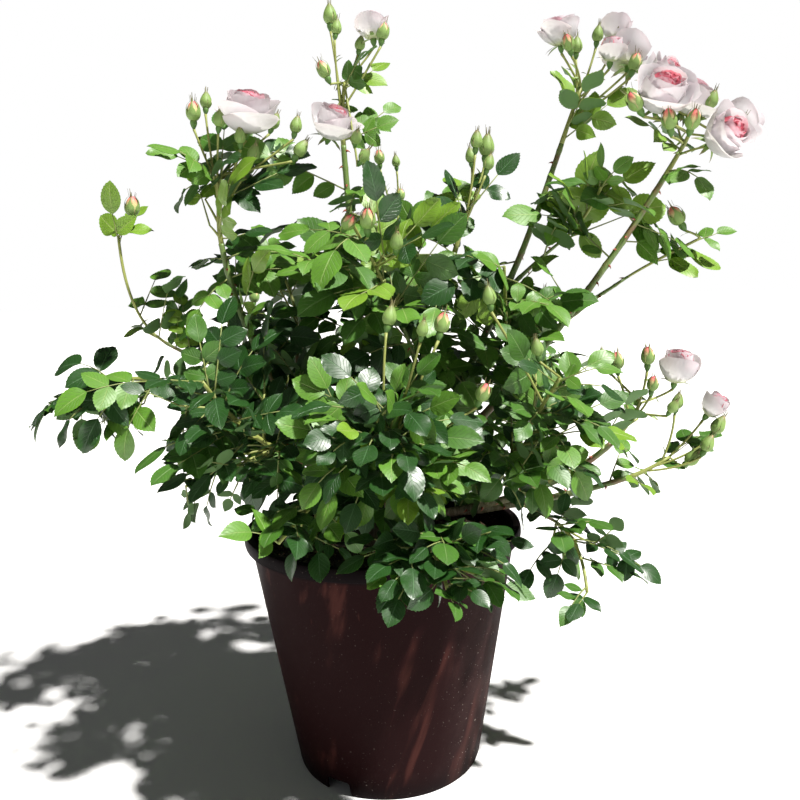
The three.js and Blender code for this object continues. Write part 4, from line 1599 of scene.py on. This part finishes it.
@dataclass
class Rose:
    """The canes, boughs, stems, twigs, leaves and flowers, gathered by kind."""

    pot: Pot
    seed: int = 7
    leaflet_length: float = 30.5
    leaflet: Leaflet = field(default_factory=Leaflet)
    outer_sprays: float = 2.5
    inner_sprays: float = 1.4
    leaf_spacing: float = 13.0
    leafy_limb: float = 0.16
    node_spacing: float = 20.0
    swelling_spacing: float = 27.0
    limb_sides: int = 12
    prickle_spacing: float = 17.0
    prickle_radii: tuple[float, ...] = (1.5, 0.9, 0.42, 0.06)
    lowest_on_limbs: float = 252.0
    farthest_back: float = 246.0
    core_middle: Triple = (0, -20, 415)
    core_reach: Triple = (205, 150, 180)
    eye: Triple = (21, -776, 481)
    droop: float = 0.12
    levelling: float = 0.6
    lowest_fork: float = 0.25
    flower_gap: float = 9.0
    flower_view: float = 60.0
    slack: float = 0.1
    spill: float = 22.0
    crowding: float = 7.2
    wood_gap: float = 5.5
    attempts: int = 3
    outward_light: float = 0.36
    front_lights: tuple[float, float] = (0.3, 1.0)
    facing_chance: float = 0.32
    tint_reach: float = 50.0
    most_leaflets: int = 12000
    bloom_hip: float = 3.1
    bud_hip: float = 0.52
    sepal_length: float = 17.0
    hip_height: float = 2.3
    hip_profile: Profile = (
        (0.3, 0), (0.42, 0.15), (0.72, 0.7), (0.96, 1.3), (1.0, 1.8), (0.9, 2.2), (0.86, 2.45), (0.1, 2.5),
    )

    def __post_init__(self) -> None:
        """Lays out the limbs, starts the pieces and maps what the leaves keep off."""
        self.rng = np.random.default_rng(self.seed)
        limbs: dict[str, Shoot] = {}
        for order, shoot in enumerate(SHOOTS):
            shoot.turn = first_turn(FIRST_SEED + order)
            shoot.part_from(SHOOTS)
        for shoot in SHOOTS:
            shoot.lay_out(limbs)
            limbs[shoot.name] = shoot
        self.start_greens()
        self.start_flowers()
        self.map_places()

    def start_greens(self) -> None:
        """Starts the pieces of wood, stems and leaves, with nothing in them yet."""
        woody = tuple(shoot.node() for shoot in SHOOTS)
        leafy = tuple(f"foliage_{shoot.name}" for shoot in SHOOTS)
        self.canes = Gathered("canes", Bark("cane_bark"), "green_bark", woody)
        self.prickles = Gathered("prickles", PRICKLE, "green_bark", woody)
        self.stems = Gathered("stems", GREEN_STEM, "foliage", leafy)
        self.stalks = Gathered("leaf_stalks", LEAF_STALK, "foliage", leafy)
        self.blades = {
            tint: Gathered(f"leaves_{tint.value}", finish, "foliage", leafy)
            for tint, finish in LEAF_FINISHES.items()
        }
        self.unders = Gathered("leaf_undersides", LEAF_UNDER, "foliage", leafy)

    def start_flowers(self) -> None:
        """Starts the pieces of the flowers, with nothing in them yet."""
        flowery = tuple(f"foliage_{shoot.name}" for shoot in SHOOTS if shoot.flowers)
        self.petals = {
            hue: Gathered(f"petals_{hue.value}", finish, "foliage", flowery)
            for hue, finish in PETAL_FINISHES.items()
        }
        self.hips = Gathered("hips", CALYX, "foliage", flowery)
        self.sepals = Gathered("sepals", SEPAL, "foliage", flowery)

    def map_places(self) -> None:
        """Maps the masses, the flowers, the wood and the open places, and makes the leaflets' shapes."""
        self.leaf_shapes = self.leaflet.pairs()
        self.mass_centres = np.array([shoot.centre for shoot in SHOOTS])
        self.mass_reaches = np.array([shoot.reach for shoot in SHOOTS])
        self.clearings = np.array(CLEARINGS)
        self.openings = np.array(OPENINGS)
        self.middles = np.zeros((self.most_leaflets, 3))
        self.placed = 0
        flowers = [flower for shoot in SHOOTS for flower in shoot.flowers]
        self.flower_middles = np.array([flower.at for flower in flowers])
        self.flower_room = np.array([flower.width * 0.5 + self.flower_gap for flower in flowers])
        limbs = [shoot.curve.path(40) for shoot in SHOOTS]
        self.wood = np.concatenate([*limbs, *(shoot.stem().path(16) for shoot in SHOOTS)])

    # Wood

    def limb(self, shoot: Shoot) -> None:
        """Makes a limb with its swellings, ridges and prickles.

        Args:
            shoot: The limb's shoot.
        """
        count = max(12, int(shoot.curve.length() / 3.0))
        shares = np.linspace(0, 1, count)
        path = shoot.curve.path(count)
        steps = distances(path)
        sides = self.limb_sides
        node_turn = steps / self.swelling_spacing + shoot.turn
        swelling = 0.35 * np.exp(-(((node_turn % 1) - 0.5) / 0.09) ** 2)
        sway = 0.8 * np.sin(math.pi * node_turn) * np.sin(math.pi * shares)
        across = square_to(shoot.curve.heading(0.5))[0]
        path = path + across * sway[:, None]
        radii = np.array([shoot.radius_at(share) for share in shares]) + swelling
        turns = np.linspace(0, math.tau, sides, endpoint=False)
        spots = table(np.cos(turns) * 3, np.sin(turns) * 3, (steps * 0.22)[:, None])
        relief = ripple(spots, 3.0, int(shoot.turn * 9999)).reshape(count, sides)
        oldness = np.clip((330.0 - path[:, 2]) / 90.0, 0.25, 1.0)[:, None]
        self.canes.add(tube(path, radii[:, None] + 0.28 * relief * oldness, sides))
        for step in np.arange(14.0, steps[-1] - 6, self.prickle_spacing):
            share = float(np.interp(step + self.rng.uniform(-6, 6), steps, shares))
            self.prickle(shoot.curve.at(share), shoot.curve.heading(share), shoot.radius_at(share))

    def prickle(self, at: Vec, heading: Vec, radius: float) -> None:
        """A hooked prickle on a limb.

        Args:
            at: The middle of the limb there.
            heading: The limb's direction.
            radius: Its radius.
        """
        first, second = square_to(heading)
        turn = self.rng.uniform(0, math.tau)
        out = first * math.cos(turn) + second * math.sin(turn)
        length = self.rng.uniform(3.4, 5.4)
        root = at + out * (radius - 0.6)
        tip = root + out * length - heading * length * 0.55
        path = Bend(root, root + out * length * 0.75, tip).path(len(self.prickle_radii))
        self.prickles.add(tube(path, np.array(self.prickle_radii), 5))

    def stem(self, stem: Bend, foot: float, tip: float) -> None:
        """A green stem that starts a little inside what carries it.

        Args:
            stem: Its curve.
            foot: Its radius at its foot.
            tip: Its radius at its tip.
        """
        path = stem.path(max(6, int(stem.length() / 6)))
        path[0] -= stem.heading(0) * 2.0
        self.stems.add(tube(path, np.linspace(foot, tip, len(path)), 8))

    # Leaves

    def light_at(self, point: Vec) -> Vec:
        """The direction that a leaf faces: up, outward, and towards the light at the front right.

        Args:
            point: Where the leaf stands.

        Returns:
            The direction.
        """
        outward = unit(point * (1, 1, 0))
        front = float(np.interp(point[2], (300, 620), self.front_lights))
        light = UP + outward * self.outward_light + vec(0.12, -front, 0)
        return unit(light + self.rng.normal(size=3) * self.facing_chance)

    def tint_at(self, point: Vec, shade: float = 0.0) -> Tint:
        """The green of a spray, by chance and by painted light and shade: lighter high up, far out and on
        the right.

        Args:
            point: Where the spray stands.
            shade: How much painted shade deepens the green of its mass.

        Returns:
            The green.
        """
        out = norm(point[:2]) / 300
        height = (point[2] - 230) / 500
        # Painted light lifts the score high up, far out and on the right; painted shade lowers it in shaded
        # masses.
        score = 0.22 * out + 0.42 * height + 0.06 * point[0] / 300 - shade + self.rng.normal() * 0.25
        return next((tint for limit, tint in TINT_LIMITS if score > limit), Tint.DEEP)

    def in_crown(self, spots: Vec) -> bool:
        """Whether all the spots lie in the crown's core or in the space of some mass.

        Args:
            spots: Places, one to a row.

        Returns:
            True if they do.
        """
        offsets = (spots[:, None] - self.mass_centres) / self.mass_reaches
        in_mass = (offsets**2).sum(axis=2).min(axis=1) < 1
        in_core = (((spots - self.core_middle) / self.core_reach) ** 2).sum(axis=1) < 1
        return bool((in_mass | in_core).all())

    def leaflet_fits(self, shoot: Shoot | None, root: Vec, along: Vec, across: Vec, length: float) -> bool:
        """Whether a leaflet stays in its mass's space, off the wood and off its neighbours.

        Args:
            shoot: Its mass, or none on a limb.
            root: Where the leaflet starts.
            along: Its direction.
            across: The direction across it.
            length: Its length.

        Returns:
            True if it does.
        """
        middle = root + along * MIDDLE_SHARE * length
        aside = across * 0.35 * length
        spots = np.array([middle + aside, middle - aside, root + along * length])
        if shoot is None and (spots[:, 2].min() < self.lowest_on_limbs or not self.in_crown(spots)):
            return False
        if shoot and (spots[:, 2].min() < shoot.lowest or not shoot.holds(spots, self.slack, self.spill)):
            return False
        if ((self.wood - middle) ** 2).sum(axis=1).min() < self.wood_gap**2:
            return False
        if spots[:, 1].max() > self.farthest_back or self.inside_pot(spots):
            return False
        if self.hides_flower(middle) or self.fills_opening(middle):
            return False
        if (((middle - self.clearings[:, :3]) ** 2).sum(axis=1) < self.clearings[:, 3] ** 2).any():
            return False
        near = self.middles[: self.placed]
        return not self.placed or ((near - middle) ** 2).sum(axis=1).min() > self.crowding**2

    def fills_opening(self, middle: Vec) -> bool:
        """Whether a leaflet would stand in an opening, seen from where the photo was taken.

        Args:
            middle: The leaflet's middle.

        Returns:
            True if it would.
        """
        seen = self.eye + (middle - self.eye) * self.eye[1] / (self.eye[1] - middle[1])
        apart = ((seen[::2] - self.openings[:, :2]) ** 2).sum(axis=1)
        return bool((apart < self.openings[:, 2] ** 2).any())

    def hides_flower(self, middle: Vec) -> bool:
        """Whether a leaflet would touch a flower or stand close in front of it.

        Args:
            middle: The leaflet's middle.

        Returns:
            True if it would.
        """
        offsets = middle - self.flower_middles
        offsets[:, 1] += np.clip(-offsets[:, 1], 0, self.flower_view)
        return bool((np.linalg.norm(offsets, axis=1) < self.flower_room).any())

    def inside_pot(self, spots: Vec) -> bool:
        """Whether any of the spots lies in the pot's wall or in the soil.

        Args:
            spots: Places, one to a row.

        Returns:
            True if one does.
        """
        radius = np.linalg.norm(spots[:, :2], axis=1)
        wall = self.pot.wall_radius(0) + (self.pot.rim - self.pot.foot) * spots[:, 2] / self.pot.height
        in_wall = (spots[:, 2] < self.pot.height + 4) & (radius < wall + 7) & (radius > wall - 9)
        in_soil = (spots[:, 2] < SOIL_TOP + 4) & (radius < wall)
        return bool((in_wall | in_soil).any())

    def leaf(self, shoot: Shoot | None, root: Vec, way: Vec, tint: Tint, scale: float = 1.0) -> bool:
        """A compound leaf, tried a few times, each time smaller and turned a little.

        Args:
            shoot: Its mass, or none on a limb.
            root: Where its stalk starts.
            way: Its direction there.
            tint: Its green.
            scale: Its size beside a full one.

        Returns:
            True if it fitted.
        """
        for attempt in range(self.attempts):
            turned_way = unit(way + self.rng.normal(size=3) * 0.22 * attempt)
            if self.one_leaf(shoot, root, turned_way, tint, scale * (1 - 0.1 * attempt)):
                return True
        return False

    def one_leaf(self, shoot: Shoot | None, root: Vec, way: Vec, tint: Tint, scale: float) -> bool:
        """One try at a leaf: a stalk, pairs of side leaflets, and one leaflet at the end.

        Args:
            shoot: Its mass, or none on a limb.
            root: Where its stalk starts.
            way: Its direction there.
            tint: Its green.
            scale: Its size beside a full one.

        Returns:
            True if it fitted.
        """
        rng = self.rng
        size = self.leaflet_length * scale * rng.uniform(0.85, 1.25)
        room = shoot.room_along(root, way, self.spill) * (1 + self.slack) if shoot else math.inf
        pairs = 3 if rng.random() < 0.25 else 2
        petiole, spacing = rng.uniform(0.35, 0.5), 0.56
        while pairs > 1 and size * (1 + petiole + pairs * spacing) > room:
            pairs -= 1
        size = min(size, room / (1 + petiole + pairs * spacing))
        if size < 0.55 * self.leaflet_length:
            return False
        stalk = size * (petiole + pairs * spacing)
        end = root + unit(way - UP * rng.uniform(self.droop - 0.3, self.droop + 0.3)) * stalk
        axis = Bend(root, root + way * stalk * 0.5, end)
        heading = axis.heading(1)
        light = self.light_at(end)
        face = squared(light, heading)
        placed = [(end, unit(heading - face * rng.uniform(0, 0.35)), face, size)]
        for pair in range(1, pairs + 1):
            share = 1 - pair * spacing * size / stalk
            foot, forward = axis.at(share), axis.heading(share)
            level = squared(light, forward)
            beside = np.cross(forward, level)
            turn = math.radians(rng.uniform(52, 72))
            for side in (-1, 1):
                sag = level * rng.uniform(-0.3, 0.15)
                along = unit(forward * math.cos(turn) + beside * side * math.sin(turn) + sag)
                tipped = squared(level + rng.normal(size=3) * 0.18, along)
                placed.append((foot, along, tipped, size * (1.0 - 0.1 * pair) * rng.uniform(0.9, 1.05)))
        kept = [
            (foot, along, squared(up, along), length)
            for foot, along, up, length in placed
            if self.leaflet_fits(shoot, foot, along, np.cross(along, up), length)
        ]
        if len(kept) < 3 or kept[0][0] is not end:
            return False
        for foot, along, up, length in kept:
            self.blade(foot, along, up, length, tint)
            self.middles[self.placed] = foot + along * MIDDLE_SHARE * length
            self.placed += 1
        self.stalks.add(tube(axis.path(5), np.linspace(0.95, 0.5, 5), 4, np.cross(heading, face)))
        return True

    def blade(self, root: Vec, along: Vec, face: Vec, length: float, tint: Tint) -> None:
        """One leaflet with its underside.

        Args:
            root: Where it starts.
            along: Its direction.
            face: The direction that it faces.
            length: Its length.
            tint: Its green.
        """
        upper, under = self.leaf_shapes[self.rng.integers(len(self.leaf_shapes))]
        across = np.cross(along, face)
        axes = np.stack([across * self.rng.uniform(0.9, 1.08), along, face])
        self.blades[tint].add(upper.moved(axes, root, length))
        self.unders.add(under.moved(axes, root, length))

    def around(self, curve: Bend, share: float, turn: float, low: float, high: float) -> Vec:
        """A direction that leaves a curve at a chance angle.

        Args:
            curve: The curve.
            share: Where it leaves it.
            turn: The turn about it.
            low: The least angle, in degrees.
            high: The largest angle.

        Returns:
            The direction.
        """
        heading = curve.heading(share)
        first, second = square_to(heading)
        lean = math.radians(self.rng.uniform(low, high))
        out = first * math.cos(turn) + second * math.sin(turn)
        return heading * math.cos(lean) + out * math.sin(lean)

    def spray(self, shoot: Shoot, stem: Bend, n: int, depth: float) -> float:
        """A side twig from the stem towards the edge of the mass's space, with its leaves.

        Args:
            shoot: The mass.
            stem: Its main stem.
            n: The spray's number.
            depth: How far out it reaches, 1 for the whole way.

        Returns:
            The share of the main stem that it stands at, or 0 if it found no room for a leaf.
        """
        rng = self.rng
        way = shoot.spray_way(stem, n)
        tip = shoot.centre + way * shoot.room_along(shoot.centre, way, self.spill * 0.6) * depth
        chord = stem.end - stem.start
        offset = tip - stem.start
        span = norm(chord)
        ahead = float(offset @ chord) / span
        aside = math.sqrt(max(0.0, float(offset @ offset) - ahead * ahead))
        share = min(max((ahead - aside) / span, 0.05), shoot.top_share - 0.05)
        start = stem.at(share)
        scale = self.size_at(tip) * shoot.leaf_size
        tint = self.tint_at(tip, shoot.shade)
        along = unit(tip - start)
        twig_length = norm(tip - start) - self.leaflet_length * scale * 2.1
        if twig_length < 10:
            return share * self.leaf(shoot, start, along, tint, scale)
        end = start + along * twig_length
        lift = stem.heading(share) * twig_length * 0.15 - UP * twig_length * rng.uniform(0.0, 0.12)
        curve = Bend(start, start + along * twig_length * 0.5 + lift, end)
        tip_way = unit(along * (1, 1, self.levelling) + rng.normal(size=3) * 0.12)
        reached = float(self.leaf(shoot, end, tip_way, tint, scale))
        turn = rng.uniform(0, math.tau)
        spacing = self.leaf_spacing / max(shoot.leafiness, 0.4)
        for back in np.arange(0.3, twig_length / spacing, 1.0):
            at = 1 - back * spacing / twig_length
            turn += GOLDEN_TURN
            if self.leaf(shoot, curve.at(at), self.around(curve, at, turn, 40, 66), tint, scale * 0.95):
                reached = max(reached, at)
        if not reached:
            return 0.0
        self.stem(curve.shortened(reached), 1.35, 0.8)
        return share

    def size_at(self, point: Vec) -> float:
        """How large the leaves are at a place: larger high up on the strong shoots."""
        return float(np.interp(point[2], (250, 420, 520, 660), (0.92, 0.95, 1.12, 1.05)))

    def stem_leaves(self, shoot: Shoot, stem: Bend) -> float:
        """Leaves that stand by turns round the main stem.

        Args:
            shoot: The mass.
            stem: Its main stem.

        Returns:
            The share of the main stem at which the last stands.
        """
        reached = 0.0
        turn = math.tau * shoot.turn
        last = 0.62 if shoot.clustered else 0.95
        step = self.leaf_spacing / max(shoot.leafiness, 0.5)
        for share in np.arange(0.05, last, step / stem.length()):
            turn += GOLDEN_TURN
            way = self.around(stem, share, turn, 45, 75)
            at = stem.at(share)
            tint = self.tint_at(at + way * self.tint_reach, shoot.shade)
            if self.leaf(shoot, at, way, tint, self.size_at(at) * shoot.leaf_size):
                reached = float(share)
        return reached

    def limb_leaves(self, shoot: Shoot) -> None:
        """Leaves, one or two at a node, on the limb where it passes through the crown.

        Args:
            shoot: The limb's shoot.
        """
        turn = math.tau * shoot.turn + 1.0
        for share in np.arange(self.leafy_limb, 1.0, self.node_spacing / shoot.curve.length()):
            turn += GOLDEN_TURN
            at = shoot.curve.at(share)
            for side in (0.0, 2.2):
                way = self.around(shoot.curve, share, turn + side, 50, 85)
                tint = self.tint_at(at + way * self.tint_reach, shoot.shade)
                self.leaf(None, at, way, tint, self.size_at(at))

    # Flowers

    def flower(self, shoot: Shoot, stem: Bend, flower: Flower, order: int) -> None:
        """A bloom or bud on its own stalk from near the end of the stem.

        Args:
            shoot: The mass that it stands in.
            stem: Its main stem.
            flower: The bloom or bud.
            order: Its number, which sets where its stalk starts.
        """
        rng = self.rng
        fork_share = shoot.top_share - (shoot.top_share - self.lowest_fork) * (order % 4) / 3
        fork = stem.at(fork_share)
        reach = flower.at - fork
        axis = unit(unit(reach) * 0.7 + UP + rng.normal(size=3) * 0.16)
        if flower.facing:
            axis = unit(np.array(flower.facing, float))
        radius = flower.width / 2
        opened = flower.stage in PETALS
        body = radius * (PETALS[flower.stage].height if opened else BUDS[flower.stage].height)
        calyx = self.bloom_hip if opened else radius * self.bud_hip
        seat = flower.at - axis * body * 0.5
        hip_foot = seat - axis * calyx * self.hip_height
        span = norm(hip_foot - fork)
        rising = fork + unit(stem.heading(fork_share) + unit(reach)) * span * 0.5
        curve = Bend(fork, (rising + hip_foot - axis * span * 0.45) / 2, hip_foot)
        count = max(7, int(span / 5))
        self.stems.add(tube(curve.path(count), np.append(np.full(count - 1, 1.1), 1.45), 6))
        for share in rng.uniform(0.1, 0.8, 2):
            self.bract(curve, float(share))
        axes = np.stack([*square_to(axis), axis])
        hip = turned([(r * calyx, z * calyx) for r, z in self.hip_profile], 12)
        self.hips.add(hip.moved(axes, hip_foot))
        if opened:
            petals = PETALS[flower.stage]
            for share, shape in petals.all(rng):
                self.petals[petals.hue(share, rng)].add(shape.moved(axes, seat, radius))
            for n in range(5):
                turn = n * math.tau / 5 + rng.normal() * 0.1
                sepal = self.ribbon(calyx * 0.62, self.sepal_length, petals.sepal_leans, turn)
                self.sepals.add(sepal.moved(axes, seat))
            return
        shape = BUDS[flower.stage]
        hue = Hue.CORAL if flower.stage is Stage.COLOURED else Hue.CREAM
        self.petals[hue].add(shape.core(rng).moved(axes, seat, radius))
        for sepal in shape.sepals(rng):
            self.sepals.add(sepal.moved(axes, seat, radius))

    def ribbon(self, foot: float, length: float, leans: Triple, turn: float) -> Shape:
        """A narrow leafy part with a pointed end, beside an axis along Z.

        Args:
            foot: How far from the axis it starts.
            length: Its length.
            leans: Its lean from the axis at its foot, near its middle and at its end, in degrees.
            turn: Its turn about the axis.

        Returns:
            The part.
        """
        rows = 10
        along = np.linspace(0, 1, rows)
        lean = np.radians(np.interp(along, (0, 0.45, 1), leans) + self.rng.normal() * 12)
        step = length / (rows - 1)
        out = foot + summed(np.sin(lean[1:])) * step
        rise = summed(np.cos(lean[1:])) * step
        half_width = length * 0.13 * (1 - along) ** 0.8 * (0.8 + 0.5 * np.sin(along * math.pi)) + 0.2
        half_width[[6, 7]] += length * 0.03 * self.rng.uniform(0, 1.5)
        outward = vec(math.cos(turn), math.sin(turn), 0)
        beside = vec(-math.sin(turn), math.cos(turn), 0)
        middle = np.outer(out, outward) + np.outer(rise, UP)
        hollow = np.outer(half_width * 0.35, outward)
        left = middle + np.outer(half_width, beside) - hollow
        right = middle - np.outer(half_width, beside) - hollow
        points = np.stack([left, middle, right], 1).reshape(-1, 3)
        return Shape(points, grid_faces(rows, 3, False), table((-1.0, 0.0, 1.0), along[:, None]))

    def bract(self, stalk: Bend, share: float) -> None:
        """A small pointed bract on a flower stalk.

        Args:
            stalk: The stalk.
            share: The share of the way up it.
        """
        heading = stalk.heading(share)
        axes = np.stack([*square_to(heading), heading])
        length = self.rng.uniform(6.0, 11.0)
        shape = self.ribbon(0.8, length, (30.0, 45.0, 70.0), self.rng.uniform(0, math.tau))
        self.sepals.add(shape.moved(axes, stalk.at(share)))

    def grow(self) -> None:
        """Grows every limb, stem, leaf and flower, and joins them kind by kind."""
        for shoot in SHOOTS:
            self.limb(shoot)
        for shoot in SHOOTS:
            stem = shoot.stem()
            for order, flower in enumerate(shoot.flowers):
                self.flower(shoot, stem, flower, order)
        for shoot in SHOOTS:
            stem = shoot.stem()
            before = self.placed
            reached = max(shoot.top_share if shoot.flowers else 0.05, self.stem_leaves(shoot, stem))
            outer = round(shoot.sprays * self.outer_sprays * shoot.leafiness)
            inner = round(shoot.sprays * self.inner_sprays * shoot.leafiness)
            for n in range(outer + inner):
                share = self.spray(shoot, stem, n, self.rng.uniform(0.82, 1.08) if n < outer else 0.66)
                reached = max(reached, share)
            self.stem(stem.shortened(reached), shoot.radius_at(1.0) * 0.97, 1.5)
            log.info("foliage_%s: %d leaflets", shoot.name, self.placed - before)
        before = self.placed
        for shoot in SHOOTS:
            self.limb_leaves(shoot)
        log.info("on the limbs: %d leaflets", self.placed - before)
        log.info("leaflets: %d", self.placed)
        kinds = [self.canes, self.prickles, self.stems, self.stalks, *self.blades.values(), self.unders]
        for kind in [*kinds, *self.petals.values(), self.hips, self.sepals]:
            kind.join()


# Studio


@dataclass
class Studio:
    """The camera at the photo's viewing angle, the floor and the lights."""

    camera_at: Triple = (0.021, -0.776, 0.481)
    pitch: float = 8.1
    roll: float = -1.66
    focal: float = 781.0
    frame: float = 800.0
    sensor: float = 36.0
    nearest: float = 0.01
    floor_radius: float = 30.0
    floor_colour: Colour = (0.86, 0.86, 0.86)
    ambient: float = 0.066
    backdrop: float = 1.0
    key_strength: float = 8.1
    key_angle: float = 2.5
    key_from: Triple = (0.56, -0.4, 1.1)
    key_colour: Colour = (1.0, 0.975, 0.94)
    fill_power: float = 2.6
    fill_size: float = 2.0
    fill_at: Triple = (-1.9, -2.0, 1.4)
    fill_aim: Triple = (0, 0, 0.42)
    fill_colour: Colour = (0.95, 0.98, 1.0)

    def set_camera(self) -> None:
        """Puts the camera in the scene."""
        data = bpy.data.cameras.new("camera")
        data.sensor_width = self.sensor
        data.lens = self.sensor * self.focal / self.frame
        data.clip_start = self.nearest
        camera = in_scene("camera", data)
        camera.location = self.camera_at
        tilt = Matrix.Rotation(math.radians(90 - self.pitch), 3, "X")
        camera.rotation_euler = (tilt @ Matrix.Rotation(math.radians(self.roll), 3, "Z")).to_euler()
        bpy.context.scene.camera = camera

    def lamp(self, name: str, kind: str, strength: float, colour: Colour) -> Object:
        """A lamp that isn't yet aimed.

        Args:
            name: Its name.
            kind: Its type.
            strength: How strong it is.
            colour: The colour of its light.

        Returns:
            The lamp.
        """
        data = bpy.data.lights.new(name, kind)
        data.energy = strength
        data.color = colour
        return in_scene(name, data)

    def set_lights(self) -> None:
        """A high key light on the right, a broad soft fill in front, and even light all round."""
        key = self.lamp("key", "SUN", self.key_strength, self.key_colour)
        key.data.angle = math.radians(self.key_angle)
        key.rotation_euler = Vector(self.key_from).to_track_quat("Z", "Y").to_euler()
        fill = self.lamp("fill", "AREA", self.fill_power, self.fill_colour)
        fill.data.size = self.fill_size
        fill.location = self.fill_at
        beam = Vector(self.fill_aim) - Vector(self.fill_at)
        fill.rotation_euler = beam.to_track_quat("-Z", "Y").to_euler()
        world = bpy.data.worlds.new("studio")
        world.use_nodes = True
        nodes = Nodes(world.node_tree)
        white = (1.0, 1.0, 1.0, 1.0)
        light = nodes.node("ShaderNodeBackground", {}, {0: white, 1: self.ambient}).outputs[0]
        seen = nodes.node("ShaderNodeBackground", {}, {0: white, 1: self.backdrop}).outputs[0]
        direct = nodes.node("ShaderNodeLightPath", {}, {}).outputs["Is Camera Ray"]
        both = nodes.node("ShaderNodeMixShader", {}, {0: direct, 1: light, 2: seen}).outputs[0]
        nodes.node("ShaderNodeOutputWorld", {}, {0: both})
        bpy.context.scene.world = world
        bpy.context.scene.view_settings.view_transform = "Standard"

    def set_floor(self) -> None:
        """A plain pale floor, far wider than the view."""
        mesh = bpy.data.meshes.new("floor")
        far = self.floor_radius
        outline = [(-far, -far, 0), (far, -far, 0), (far, far, 0), (-far, far, 0)]
        mesh.from_pydata(outline, [], [(0, 1, 2, 3)])
        floor = in_scene("floor", mesh)
        inputs = {"Base Color": self.floor_colour, "Roughness": 0.9}
        mesh.materials.append(Paint("floor_white").surface(inputs))


def corners(box: tuple[Vector, Vector]) -> list[list[float]]:
    """A box's lowest and highest corners as plain lists."""
    return [list(map(float, corner)) for corner in box]


def main() -> None:
    """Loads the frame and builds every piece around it."""
    logging.basicConfig(level=logging.INFO, format="%(message)s")
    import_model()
    studio = Studio()
    studio.set_camera()
    pot = Pot()
    pot.build()
    Soil(pot).build()
    RootCrown().build()
    Rose(pot).grow()
    studio.set_floor()
    studio.set_lights()


if __name__ == "__main__":
    main()
